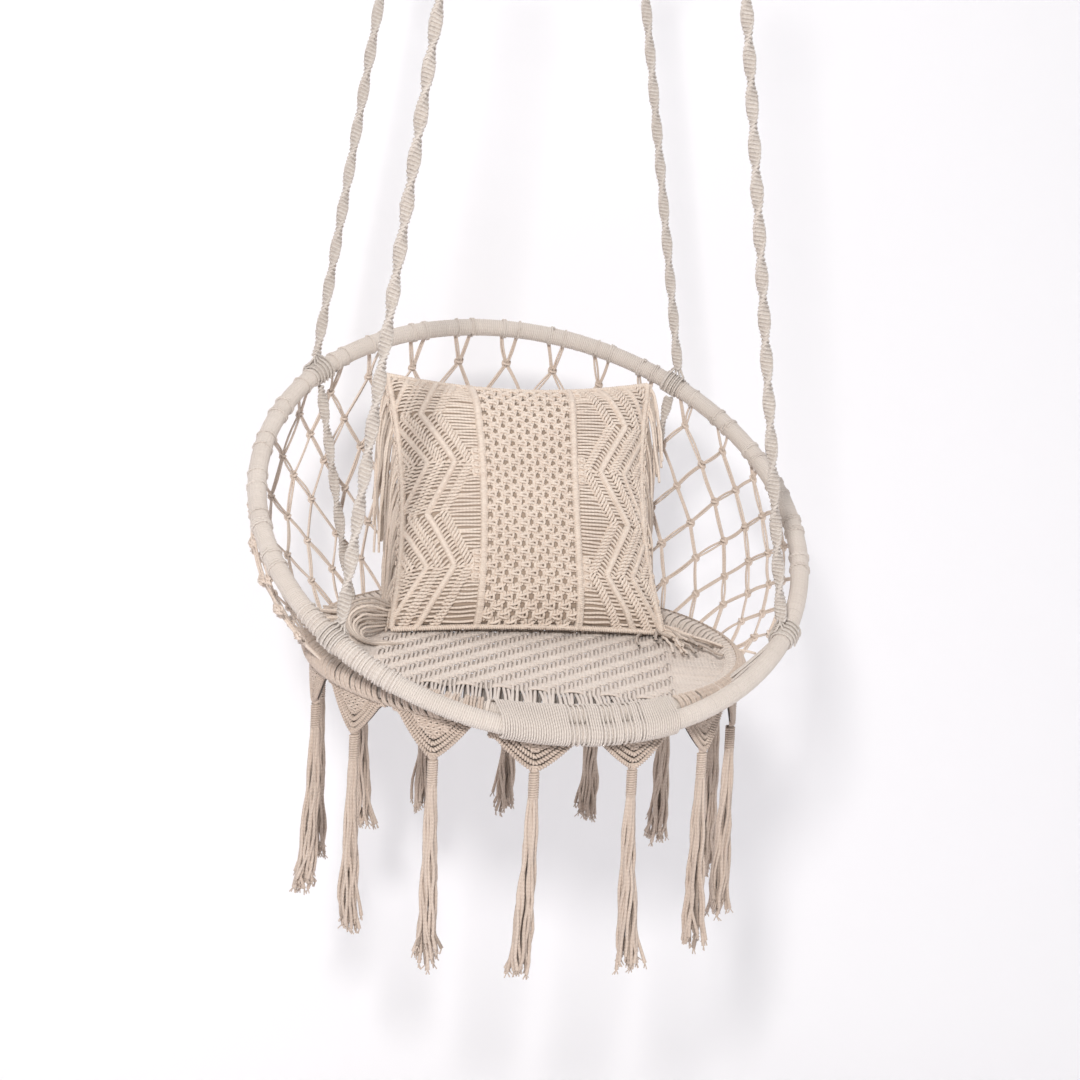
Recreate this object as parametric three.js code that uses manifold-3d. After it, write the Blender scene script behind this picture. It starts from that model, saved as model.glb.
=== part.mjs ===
// Hanging macrame hammock chair.
// Millimetres, +Z up. The sitter faces -Y, and left and right are as seen from the front, so left is -X.
// The origin is the middle of the four steel rings that the chair hangs from.
import * as THREE from 'three';
import Module from 'manifold-3d';
import { mergeVertices } from 'three/addons/utils/BufferGeometryUtils.js';

const wasm = await Module();
wasm.setup();

const degrees = Math.PI / 180;
const fullTurn = 2 * Math.PI;

// Hoops: centre line sizes, tilt from level with the rear high, and the cord wound on the steel tube
const backHoopRadius = 390;
const backHoopTilt = 40 * degrees;
const backHoopDrop = 880;
const backHoopChords = 40;
const seatHoopRadius = 300;
const seatHoopTilt = 6 * degrees;
const seatHoopChords = 28;
const steelTubeRadius = 9.5;
const steelTubeWall = 1.6;
const wrapThickness = 3.5;
const tubeSides = 8;
const wrapSides = 10;
const buttGap = 0.8;
const touchGap = 0.3;
const hoopContactGap = 0.25;
const hoopContactAngle = 45 * degrees;

// Suspension ropes and their ties
const ropeRadius = 7;
const ropeSides = 8;
const ropeSteps = 14;
const backRopeAngle = 45 * degrees;
const frontRopeAngle = -36 * degrees;
const hangerHalfSpan = 183;
const tieLength = 31;
const tieThickness = 3.6;
const tieTurns = 5;
const tieSides = 12;
const tieSink = 0.3;
const whippingRadius = 9;
const whippingLength = 34;
const eyeRadius = 13;
const eyeCordRadius = 4;
const eyeGap = 0.2;
const ringRadius = 25;
const ringWireRadius = 4;
const ringSides = 6;
const ringChords = 16;
const stayRadius = 6.5;
const staySteps = 5;
const stayFootGap = 0.8;

// Front lashing
const lashingHalfSpan = 118;
const lashingLoops = 15;
const lashingBandWidth = 11;
const lashingBandThickness = 3.6;
const lashingGap = 0.9;
const lashingTurnSteps = 5;

// Knotted net
const netColumns = 20;
const netRows = 7;
const netFirstRowShare = 0.75;
const netPitch = 11 * degrees;
const netCordWidth = 6;
const netThickness = 4.5;
const netLegSpread = 1.7 * degrees;
const netFootSpread = 3.8 * degrees;
const netBelly = 42;
const netSink = 0.6;

// Woven seat
const seatThickness = 8;
const slotWidth = 6;
const slotPitch = 15;
const slotLength = 70;
const slotCount = 15;
const slotShift = 15;
const slotInset = 13;
const seatInset = 7;
const seatGive = 2;
const seatGiveAhead = 6;

// Fringe
const leafCount = 14;
const leafDrop = 74;
const leafEdge = 10;
const leafThickness = 5;
const leafGap = 0.35;
const lashedLeafGap = 0.9;
const tasselGap = 0.6;
const leafRib = 2.5;
const leafSpread = 11.6 * degrees;
const leafColumns = 8;
const tasselLength = 268;
const neckRadius = 7;
const neckLength = 36;
const tasselTopRadius = 11;
const tasselFootRadius = 21;
const tasselLobes = 5;

// Pillow
const pillowWidth = 410;
const pillowHeight = 400;
const pillowCrown = 55;
const pillowPinch = 22;
const pillowSkin = 4;
const pillowSeam = 0.25;
const pillowFillGap = 1.2;
const pillowRidge = 5;
const pillowShift = 20;
const pillowTurn = -6 * degrees;
const pillowLean = 25 * degrees;
const pillowHoopGap = 2;
const pillowFringeWidth = 34;
const pillowFringeThickness = 11;
const pillowFringeForward = 3;
const pillowFringeFlare = 26;

// Colours
const creamCord = new THREE.MeshStandardMaterial({ color: 0xd9cdbf, roughness: 0.95, metalness: 0 });
const shadedCord = new THREE.MeshStandardMaterial({ color: 0xcbbcac, roughness: 0.95, metalness: 0 });
const pillowCord = new THREE.MeshStandardMaterial({ color: 0xd3c3b1, roughness: 0.95, metalness: 0 });
const liningCloth = new THREE.MeshStandardMaterial({ color: 0xd8cbbb, roughness: 0.9, metalness: 0 });
const steel = new THREE.MeshStandardMaterial({ color: 0xb9bbbd, roughness: 0.35, metalness: 1 });

const chair = new THREE.Group();

function add(name, geometry, material) {
  const mesh = new THREE.Mesh(geometry, material);
  mesh.name = name;
  chair.add(mesh);
  return mesh;
}

function polygonPoints(radius, sides) {
  return Array.from({ length: sides }, (_, k) => {
    const angle = (k + 0.5) * fullTurn / sides;
    return new THREE.Vector2(radius * Math.cos(angle), radius * Math.sin(angle));
  });
}

// Radius whose flat-sided section of so many sides just holds a circle of the given radius
const roundIn = (radius, sides) => radius / Math.cos(Math.PI / sides);

function tubeAlong(curve, steps, radius, sides, boreRadius = 0) {
  const section = new THREE.Shape(polygonPoints(radius, sides));
  if (boreRadius > 0) section.holes.push(new THREE.Path(polygonPoints(boreRadius, sides)));
  return new THREE.ExtrudeGeometry(section, { steps, extrudePath: curve, bevelEnabled: false });
}

function solidFrom(geometry) {
  const bare = geometry.clone();
  bare.deleteAttribute('normal');
  bare.deleteAttribute('uv');
  const merged = mergeVertices(bare, 1e-4);
  const vertProperties = new Float32Array(merged.attributes.position.array);
  const triVerts = new Uint32Array(merged.index.array);
  return new wasm.Manifold(new wasm.Mesh({ numProp: 3, vertProperties, triVerts }));
}

function geometryFrom(solid) {
  const mesh = solid.getMesh();
  const geometry = new THREE.BufferGeometry();
  geometry.setAttribute('position', new THREE.BufferAttribute(new Float32Array(mesh.vertProperties), 3));
  geometry.setIndex(new THREE.BufferAttribute(new Uint32Array(mesh.triVerts), 1));
  geometry.computeVertexNormals();
  return geometry;
}

function geometryOf(points, triangles) {
  const geometry = new THREE.BufferGeometry();
  geometry.setAttribute('position', new THREE.Float32BufferAttribute(points.flatMap((p) => p.toArray()), 3));
  geometry.setIndex(triangles.flat());
  geometry.computeVertexNormals();
  return geometry;
}

// A closed body through rings of as many points each, with a flat fan at both ends
function loft(rings) {
  const points = rings.flat();
  const size = rings[0].length;
  const triangles = [];
  rings.slice(1).forEach((_, ring) => {
    for (let k = 0; k < size; k += 1) {
      const next = (k + 1) % size;
      const low = ring * size;
      const high = low + size;
      triangles.push([low + k, low + next, high + next], [low + k, high + next, high + k]);
    }
  });
  const last = (rings.length - 1) * size;
  for (let k = 1; k < size - 1; k += 1) {
    triangles.push([0, k + 1, k], [last, last + k, last + k + 1]);
  }
  return geometryOf(points, triangles);
}

// Hoops
// A hoop is a ring of straight chords, and angle 0 is +X, a quarter turn is the rear.
class Hoop extends THREE.Curve {
  constructor(radius, tilt, chords) {
    super();
    this.radius = radius;
    this.tilt = tilt;
    this.chords = chords;
    this.centre = new THREE.Vector3();
    this.first = -fullTurn / 4 + Math.PI / chords;
  }

  corner(angle) {
    const across = this.radius * Math.cos(angle);
    const along = this.radius * Math.sin(angle);
    return new THREE.Vector3(across, along * Math.cos(this.tilt), along * Math.sin(this.tilt)).add(this.centre);
  }

  getPoint(share) {
    const slit = buttGap / this.radius;
    return this.corner(this.first + slit / 2 + share * (fullTurn - slit));
  }

  chordAt(angle) {
    const step = fullTurn / this.chords;
    const place = (angle - this.first) / step;
    const start = this.corner(this.first + Math.floor(place) * step);
    const end = this.corner(this.first + (Math.floor(place) + 1) * step);
    return { start, end, share: place - Math.floor(place) };
  }

  pointAt(angle) {
    const { start, end, share } = this.chordAt(angle);
    return start.lerp(end, share);
  }

  tangentAt(angle) {
    const { start, end } = this.chordAt(angle);
    return end.sub(start).normalize();
  }

  pointTowards(place) {
    const along = (place.y - this.centre.y) / Math.cos(this.tilt);
    return this.pointAt(Math.atan2(along, place.x - this.centre.x));
  }
}

const wrapRadius = steelTubeRadius + wrapThickness;
const backHoop = new Hoop(backHoopRadius, backHoopTilt, backHoopChords);
const seatHoop = new Hoop(seatHoopRadius, seatHoopTilt, seatHoopChords);
const rearAngle = fullTurn / 4;
const frontAngle = -fullTurn / 4;

// The ropes hang plumb from front to back, and the rings' middle is the origin.
const backReach = backHoop.pointAt(backRopeAngle).y;
const frontReach = backHoop.pointAt(frontRopeAngle).y;
backHoop.centre.set(0, -(backReach + frontReach) / 2, -backHoopDrop);

// The seat hoop's front lies on the big hoop's front, up and back from it.
const contactDistance = 2 * wrapRadius + hoopContactGap;
const contactStep = new THREE.Vector3(0, Math.cos(hoopContactAngle), Math.sin(hoopContactAngle));
const seatFront = backHoop.pointAt(frontAngle).addScaledVector(contactStep, contactDistance);
seatHoop.centre.copy(seatFront.sub(seatHoop.pointAt(frontAngle)));

function addHoop(hoop, name) {
  const bore = steelTubeRadius - steelTubeWall;
  add(`${name}_tube`, tubeAlong(hoop, hoop.chords, steelTubeRadius, tubeSides, bore), steel);
  const wrapBore = roundIn(steelTubeRadius + touchGap, wrapSides);
  add(`${name}_wrap`, tubeAlong(hoop, hoop.chords, wrapRadius, wrapSides, wrapBore), creamCord);
}

addHoop(backHoop, 'back_hoop');
addHoop(seatHoop, 'seat_hoop');

// Ropes
const squareTo = (direction, axis) => direction.addScaledVector(axis, -direction.dot(axis)).normalize();

// Middle of a cord's end face that just rests on a round bar and leaves it towards a point
function endOn(place, barAxis, barRadius, cordRadius, towards) {
  const direction = towards.clone().sub(place).normalize();
  const reach = barRadius + touchGap + cordRadius * Math.abs(direction.dot(barAxis));
  return place.clone().addScaledVector(squareTo(direction, barAxis), reach);
}

// Turns a shape built round +Z to stand along a direction
function stand(geometry, foot, direction) {
  const turn = new THREE.Quaternion().setFromUnitVectors(new THREE.Vector3(0, 0, 1), direction);
  return geometry.applyQuaternion(turn).translate(foot.x, foot.y, foot.z);
}

const ringSagitta = ringRadius * (1 - Math.cos(Math.PI / ringChords));

function ringGeometry(middle) {
  const wire = polygonPoints(ringWireRadius, ringSides).map((p) => new THREE.Vector2(p.x + ringRadius, p.y));
  wire.push(wire[0].clone());
  const ring = new THREE.LatheGeometry(wire, ringChords);
  return ring.rotateY(Math.PI / ringChords).translate(middle.x, middle.y, middle.z);
}

function eyeGeometry(middle, direction) {
  const cord = polygonPoints(eyeCordRadius, ringSides).map((p) => new THREE.Vector2(p.x + eyeRadius, p.y));
  cord.push(cord[0].clone());
  const eye = new THREE.LatheGeometry(cord, ringChords).rotateZ(rearAngle);
  return stand(eye, middle, direction);
}

const tieBore = roundIn(wrapRadius + touchGap, tieSides);
const tieRadius = tieBore + tieThickness;

function tieGeometry(place, direction) {
  const profile = [new THREE.Vector2(tieBore, -tieLength / 2)];
  const turnLength = tieLength / tieTurns;
  const groove = tieBore + tieThickness / 2;
  for (let turn = 0; turn < tieTurns; turn += 1) {
    const low = -tieLength / 2 + turn * turnLength;
    profile.push(new THREE.Vector2(groove, low), new THREE.Vector2(tieRadius, low + turnLength / 2));
  }
  profile.push(new THREE.Vector2(groove, tieLength / 2), new THREE.Vector2(tieBore, tieLength / 2));
  profile.push(profile[0].clone());
  return stand(new THREE.LatheGeometry(profile, tieSides).rotateX(rearAngle), place, direction);
}

// One rope: steel ring, eye and whipping, sinnet down to the tie on the big hoop
function addRope(side, angle) {
  const place = backHoop.pointAt(angle);
  const tangent = backHoop.tangentAt(angle);
  const ringMiddle = new THREE.Vector3(Math.sign(place.x) * hangerHalfSpan, place.y, 0);
  add(`hanging_ring_${side}`, ringGeometry(ringMiddle), steel);

  const bearing = ringMiddle.clone();
  bearing.z -= ringRadius - ringSagitta;
  const ropeFoot = endOn(place, tangent, tieRadius - tieSink, ropeRadius, bearing);
  const up = bearing.clone().sub(ropeFoot).normalize();
  const eyeTop = bearing.clone().addScaledVector(up, ringWireRadius + eyeGap + eyeCordRadius);
  const eyeMiddle = eyeTop.addScaledVector(up, -eyeRadius);
  const whippingTop = eyeMiddle.clone().addScaledVector(up, -eyeRadius);
  const whippingFoot = whippingTop.clone().addScaledVector(up, -whippingLength);

  const whipping = tubeAlong(new THREE.LineCurve3(whippingFoot, whippingTop), 1, whippingRadius, ropeSides);
  const ropeTop = whippingFoot.clone().addScaledVector(up, whippingLength / 2);
  const sinnet = tubeAlong(new THREE.LineCurve3(ropeFoot, ropeTop), ropeSteps, ropeRadius, ropeSides);
  const rope = solidFrom(sinnet).add(solidFrom(whipping)).add(solidFrom(eyeGeometry(eyeMiddle, up)));
  add(`rope_${side}`, geometryFrom(rope), creamCord);
  add(`rope_tie_${side}`, tieGeometry(place, tangent), creamCord);
}

addRope('back_left', Math.PI - backRopeAngle);
addRope('back_right', backRopeAngle);
addRope('front_left', Math.PI - frontRopeAngle);
addRope('front_right', frontRopeAngle);

// A stay goes on from a tie to the seat hoop, level with it from front to back.
function seatAngleAt(y, side) {
  const share = (y - seatHoop.centre.y) / (seatHoopRadius * Math.cos(seatHoopTilt));
  const angle = Math.asin(share);
  return side < 0 ? Math.PI - angle : angle;
}

function addStay(name, hoopAngle, seatAngle) {
  const tied = backHoop.pointAt(hoopAngle);
  const landed = seatHoop.pointAt(seatAngle);
  const high = endOn(tied, backHoop.tangentAt(hoopAngle), tieRadius - tieSink, stayRadius, landed);
  const low = endOn(landed, seatHoop.tangentAt(seatAngle), wrapRadius + stayFootGap, stayRadius, tied);
  add(name, tubeAlong(new THREE.LineCurve3(high, low), staySteps, stayRadius, ropeSides), shadedCord);
}

const frontTieY = backHoop.pointAt(frontRopeAngle).y;
addStay('stay_back_left', Math.PI - backRopeAngle, Math.PI - backRopeAngle);
addStay('stay_back_right', backRopeAngle, backRopeAngle);
addStay('stay_front_left', Math.PI - frontRopeAngle, seatAngleAt(frontTieY, -1));
addStay('stay_front_right', frontRopeAngle, seatAngleAt(frontTieY, 1));

// Front lashing
// One flat band of cords wound round both hoops. Each turn is a stadium about the two tubes at that x.
function lashingSection(share, turnShare) {
  const x = lashingHalfSpan * (2 * share - 1);
  const low = backHoop.pointAt(frontAngle + Math.asin(x / backHoopRadius));
  const high = seatHoop.pointAt(frontAngle + Math.asin(x / seatHoopRadius));
  const slant = Math.cos(Math.asin(x / seatHoopRadius));
  const reach = roundIn(wrapRadius + lashingGap + lashingBandThickness / 2, 2 * lashingTurnSteps) / slant;
  const axis = high.clone().sub(low).setX(0).normalize();
  const side = new THREE.Vector3(0, axis.z, -axis.y);
  const halfSteps = lashingTurnSteps;
  const place = Math.round(turnShare * 2 * (halfSteps + 1));
  const onTop = place <= halfSteps;
  const local = onTop ? place : place - halfSteps - 1;
  const angle = (onTop ? 0 : Math.PI) + local * Math.PI / halfSteps;
  const outward = side.clone().multiplyScalar(Math.cos(angle)).addScaledVector(axis, Math.sin(angle));
  const middle = (onTop ? high : low).clone().setX(x).addScaledVector(outward, reach);
  const hoop = onTop ? seatHoop : backHoop;
  const along = hoop.tangentAt(frontAngle + Math.asin(x / hoop.radius));
  return { middle, outward, along: along.divideScalar(along.x) };
}

function lashingGeometry() {
  const turnPoints = 2 * (lashingTurnSteps + 1);
  const steps = lashingLoops * turnPoints;
  const rings = [];
  for (let step = 0; step <= steps; step += 1) {
    const turnShare = (step % turnPoints) / turnPoints;
    const { middle, outward, along } = lashingSection(step / steps, turnShare);
    const half = lashingBandWidth / 2;
    const thick = lashingBandThickness / 2;
    const flatShare = 0.7;
    const outline = [[-half, 0], [-half * flatShare, -thick], [half * flatShare, -thick],
      [half, 0], [half * flatShare, thick], [-half * flatShare, thick]];
    rings.push(outline.map(([across, out]) => (
      middle.clone().addScaledVector(outward, out).addScaledVector(along, across))));
  }
  const leastGap = leastGapBetweenTurns(rings, turnPoints);
  console.log(`front lashing: least gap between turns ${leastGap.toFixed(2)} mm`);
  return loft(rings);
}

function leastGapBetweenTurns(rings, turnPoints) {
  let least = Infinity;
  for (let step = 0; step + turnPoints < rings.length; step += 1) {
    const right = Math.max(...rings[step].map((p) => p.x));
    const left = Math.min(...rings[step + turnPoints].map((p) => p.x));
    least = Math.min(least, left - right);
  }
  return least;
}

add('front_lashing', lashingGeometry(), creamCord);

// Knotted net
// A mesh of slanted cells from the big hoop to the seat hoop, on the outer side of both, bellied out between.
function netPoint(angle, share) {
  const high = backHoop.pointAt(angle);
  const low = seatHoop.pointAt(angle);
  const down = low.clone().sub(high).normalize();
  const out = new THREE.Vector3(Math.cos(angle), Math.sin(angle), 0);
  const reach = wrapRadius + netThickness / 2 - netSink;
  const topShare = 0.75;
  const footShare = 1.1;
  high.addScaledVector(squareTo(down.clone().addScaledVector(out, topShare), backHoop.tangentAt(angle)), reach);
  low.addScaledVector(squareTo(out.clone().addScaledVector(down, -1 / footShare), seatHoop.tangentAt(angle)), reach);
  const fullLength = 2 * seatHoopRadius * Math.sin(backHoopTilt - seatHoopTilt);
  const bulge = netBelly * Math.sin(Math.PI * share) * high.distanceTo(low) / fullLength;
  return high.lerp(low, share).addScaledVector(out, bulge);
}

function netFrame(angle, share) {
  const step = 0.01;
  const place = netPoint(angle, share);
  const along = netPoint(angle + step, share).sub(netPoint(angle - step, share)).normalize();
  const down = netPoint(angle, Math.min(share + step, 1)).sub(netPoint(angle, Math.max(share - step, 0)));
  down.normalize();
  const out = down.clone().cross(along).normalize();
  return { place, along, down, out };
}

class NetMesh {
  constructor() {
    this.points = [];
    this.triangles = [];
  }

  // A corner is a pair of points, one on the outer and one on the inner face.
  corner(frame, across, along) {
    const middle = frame.place.clone().addScaledVector(frame.along, across).addScaledVector(frame.down, along);
    this.points.push(middle.clone().addScaledVector(frame.out, netThickness / 2));
    this.points.push(middle.clone().addScaledVector(frame.out, -netThickness / 2));
    return this.points.length - 2;
  }

  face(corners) {
    for (let k = 1; k < corners.length - 1; k += 1) {
      this.triangles.push([corners[0], corners[k], corners[k + 1]]);
      this.triangles.push([corners[0] + 1, corners[k + 1] + 1, corners[k] + 1]);
    }
  }

  wall(from, to) {
    this.triangles.push([from, from + 1, to + 1], [from, to + 1, to]);
  }
}

// Knots of every other row stand half a pitch aside, and a strand joins each to the two below it.
function netGeometry() {
  const mesh = new NetMesh();
  const half = netCordWidth / 2;
  const reach = netCordWidth * Math.SQRT1_2;
  const first = rearAngle - (netColumns - 1) / 2 * netPitch;
  const shareOf = (row) => (row - 1 + netFirstRowShare) / (netRows - 1 + netFirstRowShare);
  const rows = Array.from({ length: netRows - 1 }, (_, k) => {
    const aside = k % 2;
    return Array.from({ length: netColumns - aside }, (__, column) => {
      const angle = first + (column + aside / 2) * netPitch;
      const frame = netFrame(angle, shareOf(k + 1));
      const top = mesh.corner(frame, 0, -reach);
      const left = mesh.corner(frame, -reach, 0);
      const foot = mesh.corner(frame, 0, reach);
      const right = mesh.corner(frame, reach, 0);
      mesh.face([top, left, foot, right]);
      return { angle, top, left, foot, right };
    });
  });
  const strand = (a, b, c, d) => {
    mesh.face([a, b, c, d]);
    mesh.wall(a, b);
    mesh.wall(c, d);
  };
  const leg = (angle, share, right, left, sign) => {
    const end = netFrame(angle, share);
    const endRight = mesh.corner(end, half * sign, 0);
    const endLeft = mesh.corner(end, -half * sign, 0);
    strand(right, endRight, endLeft, left);
    mesh.wall(endRight, endLeft);
  };
  rows[0].forEach(({ angle, top, left, right }) => {
    leg(angle - netLegSpread, 0, top, left, 1);
    leg(angle + netLegSpread, 0, right, top, 1);
  });
  rows[rows.length - 1].forEach(({ angle, left, foot, right }) => {
    leg(angle - netFootSpread, 1, left, foot, -1);
    leg(angle + netFootSpread, 1, foot, right, -1);
  });
  rows.forEach((row, k) => row.forEach((knot, column) => {
    const below = rows[k + 1];
    const belowLeft = below?.[column - 1 + k % 2];
    const belowRight = below?.[column + k % 2];
    if (belowLeft) strand(knot.left, belowLeft.top, belowLeft.right, knot.foot);
    else if (below) mesh.wall(knot.left, knot.foot);
    if (belowRight) strand(knot.foot, belowRight.left, belowRight.top, knot.right);
    else if (below) mesh.wall(knot.foot, knot.right);
    if (k > 0 && k % 2 === 0 && column === 0) mesh.wall(knot.top, knot.left);
    if (k > 0 && k % 2 === 0 && column === row.length - 1) mesh.wall(knot.right, knot.top);
  }));
  return geometryOf(mesh.points, mesh.triangles);
}

add('knotted_net', netGeometry(), shadedCord);

// Pillow
// Built standing on its lower edge with its front towards -Y, then leaned, turned and set on the seat.
const ridgeShare = 0.38;
const ridgeHalfShare = 0.025;
const rimShare = 0.93;
const plainColumnShares = [-1, -rimShare, -0.75, -0.5, -0.25, 0, 0.25, 0.5, 0.75, rimShare, 1];
const ridgeShares = [-1, 1].flatMap((side) => [-1, 0, 1].map((step) => side * ridgeShare + step * ridgeHalfShare));
const sideShares = [-0.78, -0.58, -0.18, 0, 0.18, 0.58, 0.78];
const frontColumnShares = [-1, -rimShare, ...sideShares, ...ridgeShares, rimShare, 1].sort((a, b) => a - b);

function pillowPoint(u, v, depth) {
  const x = u * (pillowWidth / 2 - pillowPinch * (1 - v * v));
  const z = v * (pillowHeight / 2 - pillowPinch * (1 - u * u)) + pillowHeight / 2;
  return new THREE.Vector3(x, depth, z);
}

const pillowSwell = (u, v) => pillowCrown * Math.sqrt((1 - u * u) * (1 - v * v)) + pillowSeam;

// A closed slab between two faces over a grid, each face a depth for every place
function slab(columnShares, rowShares, frontDepth, backDepth) {
  const points = [];
  const triangles = [];
  const rows = rowShares.length;
  columnShares.forEach((u) => rowShares.forEach((v) => {
    points.push(pillowPoint(u, v, frontDepth(u, v)), pillowPoint(u, v, backDepth(u, v)));
  }));
  const at = (column, row) => 2 * (column * rows + row);
  const wall = (a, b) => triangles.push([a, a + 1, b + 1], [a, b + 1, b]);
  const lastColumn = columnShares.length - 1;
  const lastRow = rows - 1;
  for (let column = 0; column < lastColumn; column += 1) {
    for (let row = 0; row < lastRow; row += 1) {
      const [a, b, c, d] = [at(column, row), at(column + 1, row), at(column + 1, row + 1), at(column, row + 1)];
      triangles.push([a, b, c], [a, c, d], [a + 1, c + 1, b + 1], [a + 1, d + 1, c + 1]);
    }
    wall(at(column, 0), at(column + 1, 0));
    wall(at(column + 1, lastRow), at(column, lastRow));
  }
  for (let row = 0; row < lastRow; row += 1) {
    wall(at(0, row + 1), at(0, row));
    wall(at(lastColumn, row), at(lastColumn, row + 1));
  }
  return geometryOf(points, triangles);
}

const ridgeLift = (u) => (Math.abs(Math.abs(u) - ridgeShare) < ridgeHalfShare / 2 ? pillowRidge : 0);

function pillowFringe(side) {
  const shares = [-0.96, -0.5, 0, 0.5, 0.9];
  const rings = shares.map((v) => {
    const edge = pillowPoint(side, v, 0);
    edge.x += side * (touchGap + pillowSeam);
    const foot = Math.max(-v, 0);
    const width = pillowFringeWidth * (0.55 + 0.45 * (1 - v) / 2) + pillowFringeFlare * foot * foot;
    const half = pillowFringeThickness / 2;
    const lift = pillowFringeFlare * foot;
    return [[0, -half * 0.6, 0], [width, -half, lift], [width, half, lift], [0, half * 0.6, 0]].map(([out, depth, up]) => (
      new THREE.Vector3(edge.x + side * out, depth - pillowFringeForward, edge.z + up * out / width)));
  });
  if (side < 0) rings.forEach((ring) => ring.reverse());
  return loft(rings);
}

function pillowPieces() {
  const inner = plainColumnShares.slice(1, -1);
  const fill = (u, v) => pillowSwell(u, v) - pillowFillGap;
  return [
    ['pillow_insert', slab(inner, inner, (u, v) => -fill(u, v), fill), liningCloth],
    ['pillow_front_panel', slab(frontColumnShares, plainColumnShares,
      (u, v) => -pillowSwell(u, v) - pillowSkin - ridgeLift(u), (u, v) => -pillowSwell(u, v)), pillowCord],
    ['pillow_back_cover', slab(plainColumnShares, plainColumnShares,
      pillowSwell, (u, v) => pillowSwell(u, v) + pillowSkin), liningCloth],
    ['pillow_fringe_left', pillowFringe(-1), pillowCord],
    ['pillow_fringe_right', pillowFringe(1), pillowCord],
  ];
}

// Least value of some measure over the corners of some geometries
function leastOver(geometries, measure) {
  const corner = new THREE.Vector3();
  return Math.min(...geometries.map((geometry) => {
    const places = geometry.attributes.position;
    let least = Infinity;
    for (let k = 0; k < places.count; k += 1) {
      least = Math.min(least, measure(corner.fromBufferAttribute(places, k)));
    }
    return least;
  }));
}

// Level distance from a place out to the bowl that the net makes between the hoops
function roomInBowl(place) {
  const low = seatHoop.pointTowards(place);
  const high = backHoop.pointTowards(place);
  const share = THREE.MathUtils.clamp((place.z - low.z) / (high.z - low.z), 0, 1);
  const edge = low.lerp(high, share).sub(seatHoop.centre);
  const reach = place.sub(seatHoop.centre);
  const belly = netBelly * Math.sin(Math.PI * share);
  return Math.hypot(edge.x, edge.y) + belly - Math.hypot(reach.x, reach.y);
}

// Set down in the middle of the seat, the pillow slides up its slope as far as the bowl leaves room.
const seatNormal = new THREE.Vector3(0, -Math.sin(seatHoopTilt), Math.cos(seatHoopTilt));
const seatSlope = new THREE.Vector3(0, Math.cos(seatHoopTilt), Math.sin(seatHoopTilt));
const pressedFace = seatHoop.centre.clone().addScaledVector(seatNormal, seatThickness / 2 - seatGive);
const pieces = pillowPieces();
const pillowParts = pieces.map(([, geometry]) => geometry);
const movePillow = (step) => pillowParts.forEach((geometry) => geometry.translate(...step.toArray()));
pillowParts.forEach((geometry) => geometry.rotateX(-pillowLean).rotateZ(pillowTurn));
movePillow(seatHoop.centre.clone().setX(pillowShift));
const pillowHeightAbove = leastOver(pillowParts, (corner) => corner.sub(pressedFace).dot(seatNormal));
movePillow(seatNormal.clone().multiplyScalar(touchGap - pillowHeightAbove));
for (let step = seatHoopRadius / 2, way = 1; step > touchGap / 2; step /= 2) {
  movePillow(seatSlope.clone().multiplyScalar(step * way));
  way = leastOver(pillowParts, roomInBowl) > wrapRadius + pillowHoopGap ? 1 : -1;
}
pieces.forEach(([name, geometry, material]) => add(name, geometry, material));
const pillowFront = leastOver(pillowParts, (corner) => corner.sub(seatHoop.centre).dot(seatSlope));

// Woven seat
// Lies in the seat hoop's plane, with the open front cords as slots, and gives a little under the pillow.
function seatGeometry() {
  const halfChord = Math.PI / seatHoopChords;
  const reach = seatHoopRadius * Math.cos(halfChord) - wrapRadius - touchGap;
  const lashedEdge = Math.asin((lashingHalfSpan + lashingBandWidth) / seatHoopRadius);
  const edgePoint = (fromFront, inset) => {
    const chord = Math.round(fromFront / (2 * halfChord));
    const radius = reach / Math.cos(fromFront - chord * 2 * halfChord) - inset;
    const angle = frontAngle + fromFront;
    return new THREE.Vector2(radius * Math.cos(angle), radius * Math.sin(angle));
  };
  const corners = Array.from({ length: seatHoopChords }, (_, k) => -Math.PI + (2 * k + 1) * halfChord);
  const before = corners.filter((angle) => angle < -lashedEdge).map((angle) => edgePoint(angle, 0));
  const lashed = corners.filter((angle) => Math.abs(angle) < lashedEdge).map((angle) => edgePoint(angle, seatInset));
  const after = corners.filter((angle) => angle > lashedEdge).map((angle) => edgePoint(angle, 0));
  const outline = new THREE.Shape([...before, edgePoint(-lashedEdge, 0), edgePoint(-lashedEdge, seatInset),
    ...lashed, edgePoint(lashedEdge, seatInset), edgePoint(lashedEdge, 0), ...after]);
  for (let slot = 0; slot < slotCount; slot += 1) {
    const x = (slot - (slotCount - 1) / 2) * slotPitch + slotShift;
    const left = x - slotWidth / 2;
    const right = x + slotWidth / 2;
    const edge = Math.max(Math.abs(left), Math.abs(right));
    const low = -Math.sqrt(reach * reach - edge * edge) + slotInset;
    const slotCorners = [[left, low], [left, low + slotLength], [right, low + slotLength], [right, low]];
    outline.holes.push(new THREE.Path(slotCorners.map(([u, v]) => new THREE.Vector2(u, v))));
  }
  const seat = new THREE.ExtrudeGeometry(outline, { depth: seatThickness, bevelEnabled: false });
  seat.translate(0, 0, -seatThickness / 2);
  const pressed = new THREE.BoxGeometry(2 * seatHoopRadius, 2 * seatHoopRadius, 2 * seatGive);
  pressed.translate(0, pillowFront - seatGiveAhead + seatHoopRadius, seatThickness / 2);
  const woven = geometryFrom(solidFrom(seat).subtract(solidFrom(pressed)));
  return woven.rotateX(seatHoopTilt).translate(...seatHoop.centre.toArray());
}

add('seat_weave', seatGeometry(), creamCord);

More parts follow.
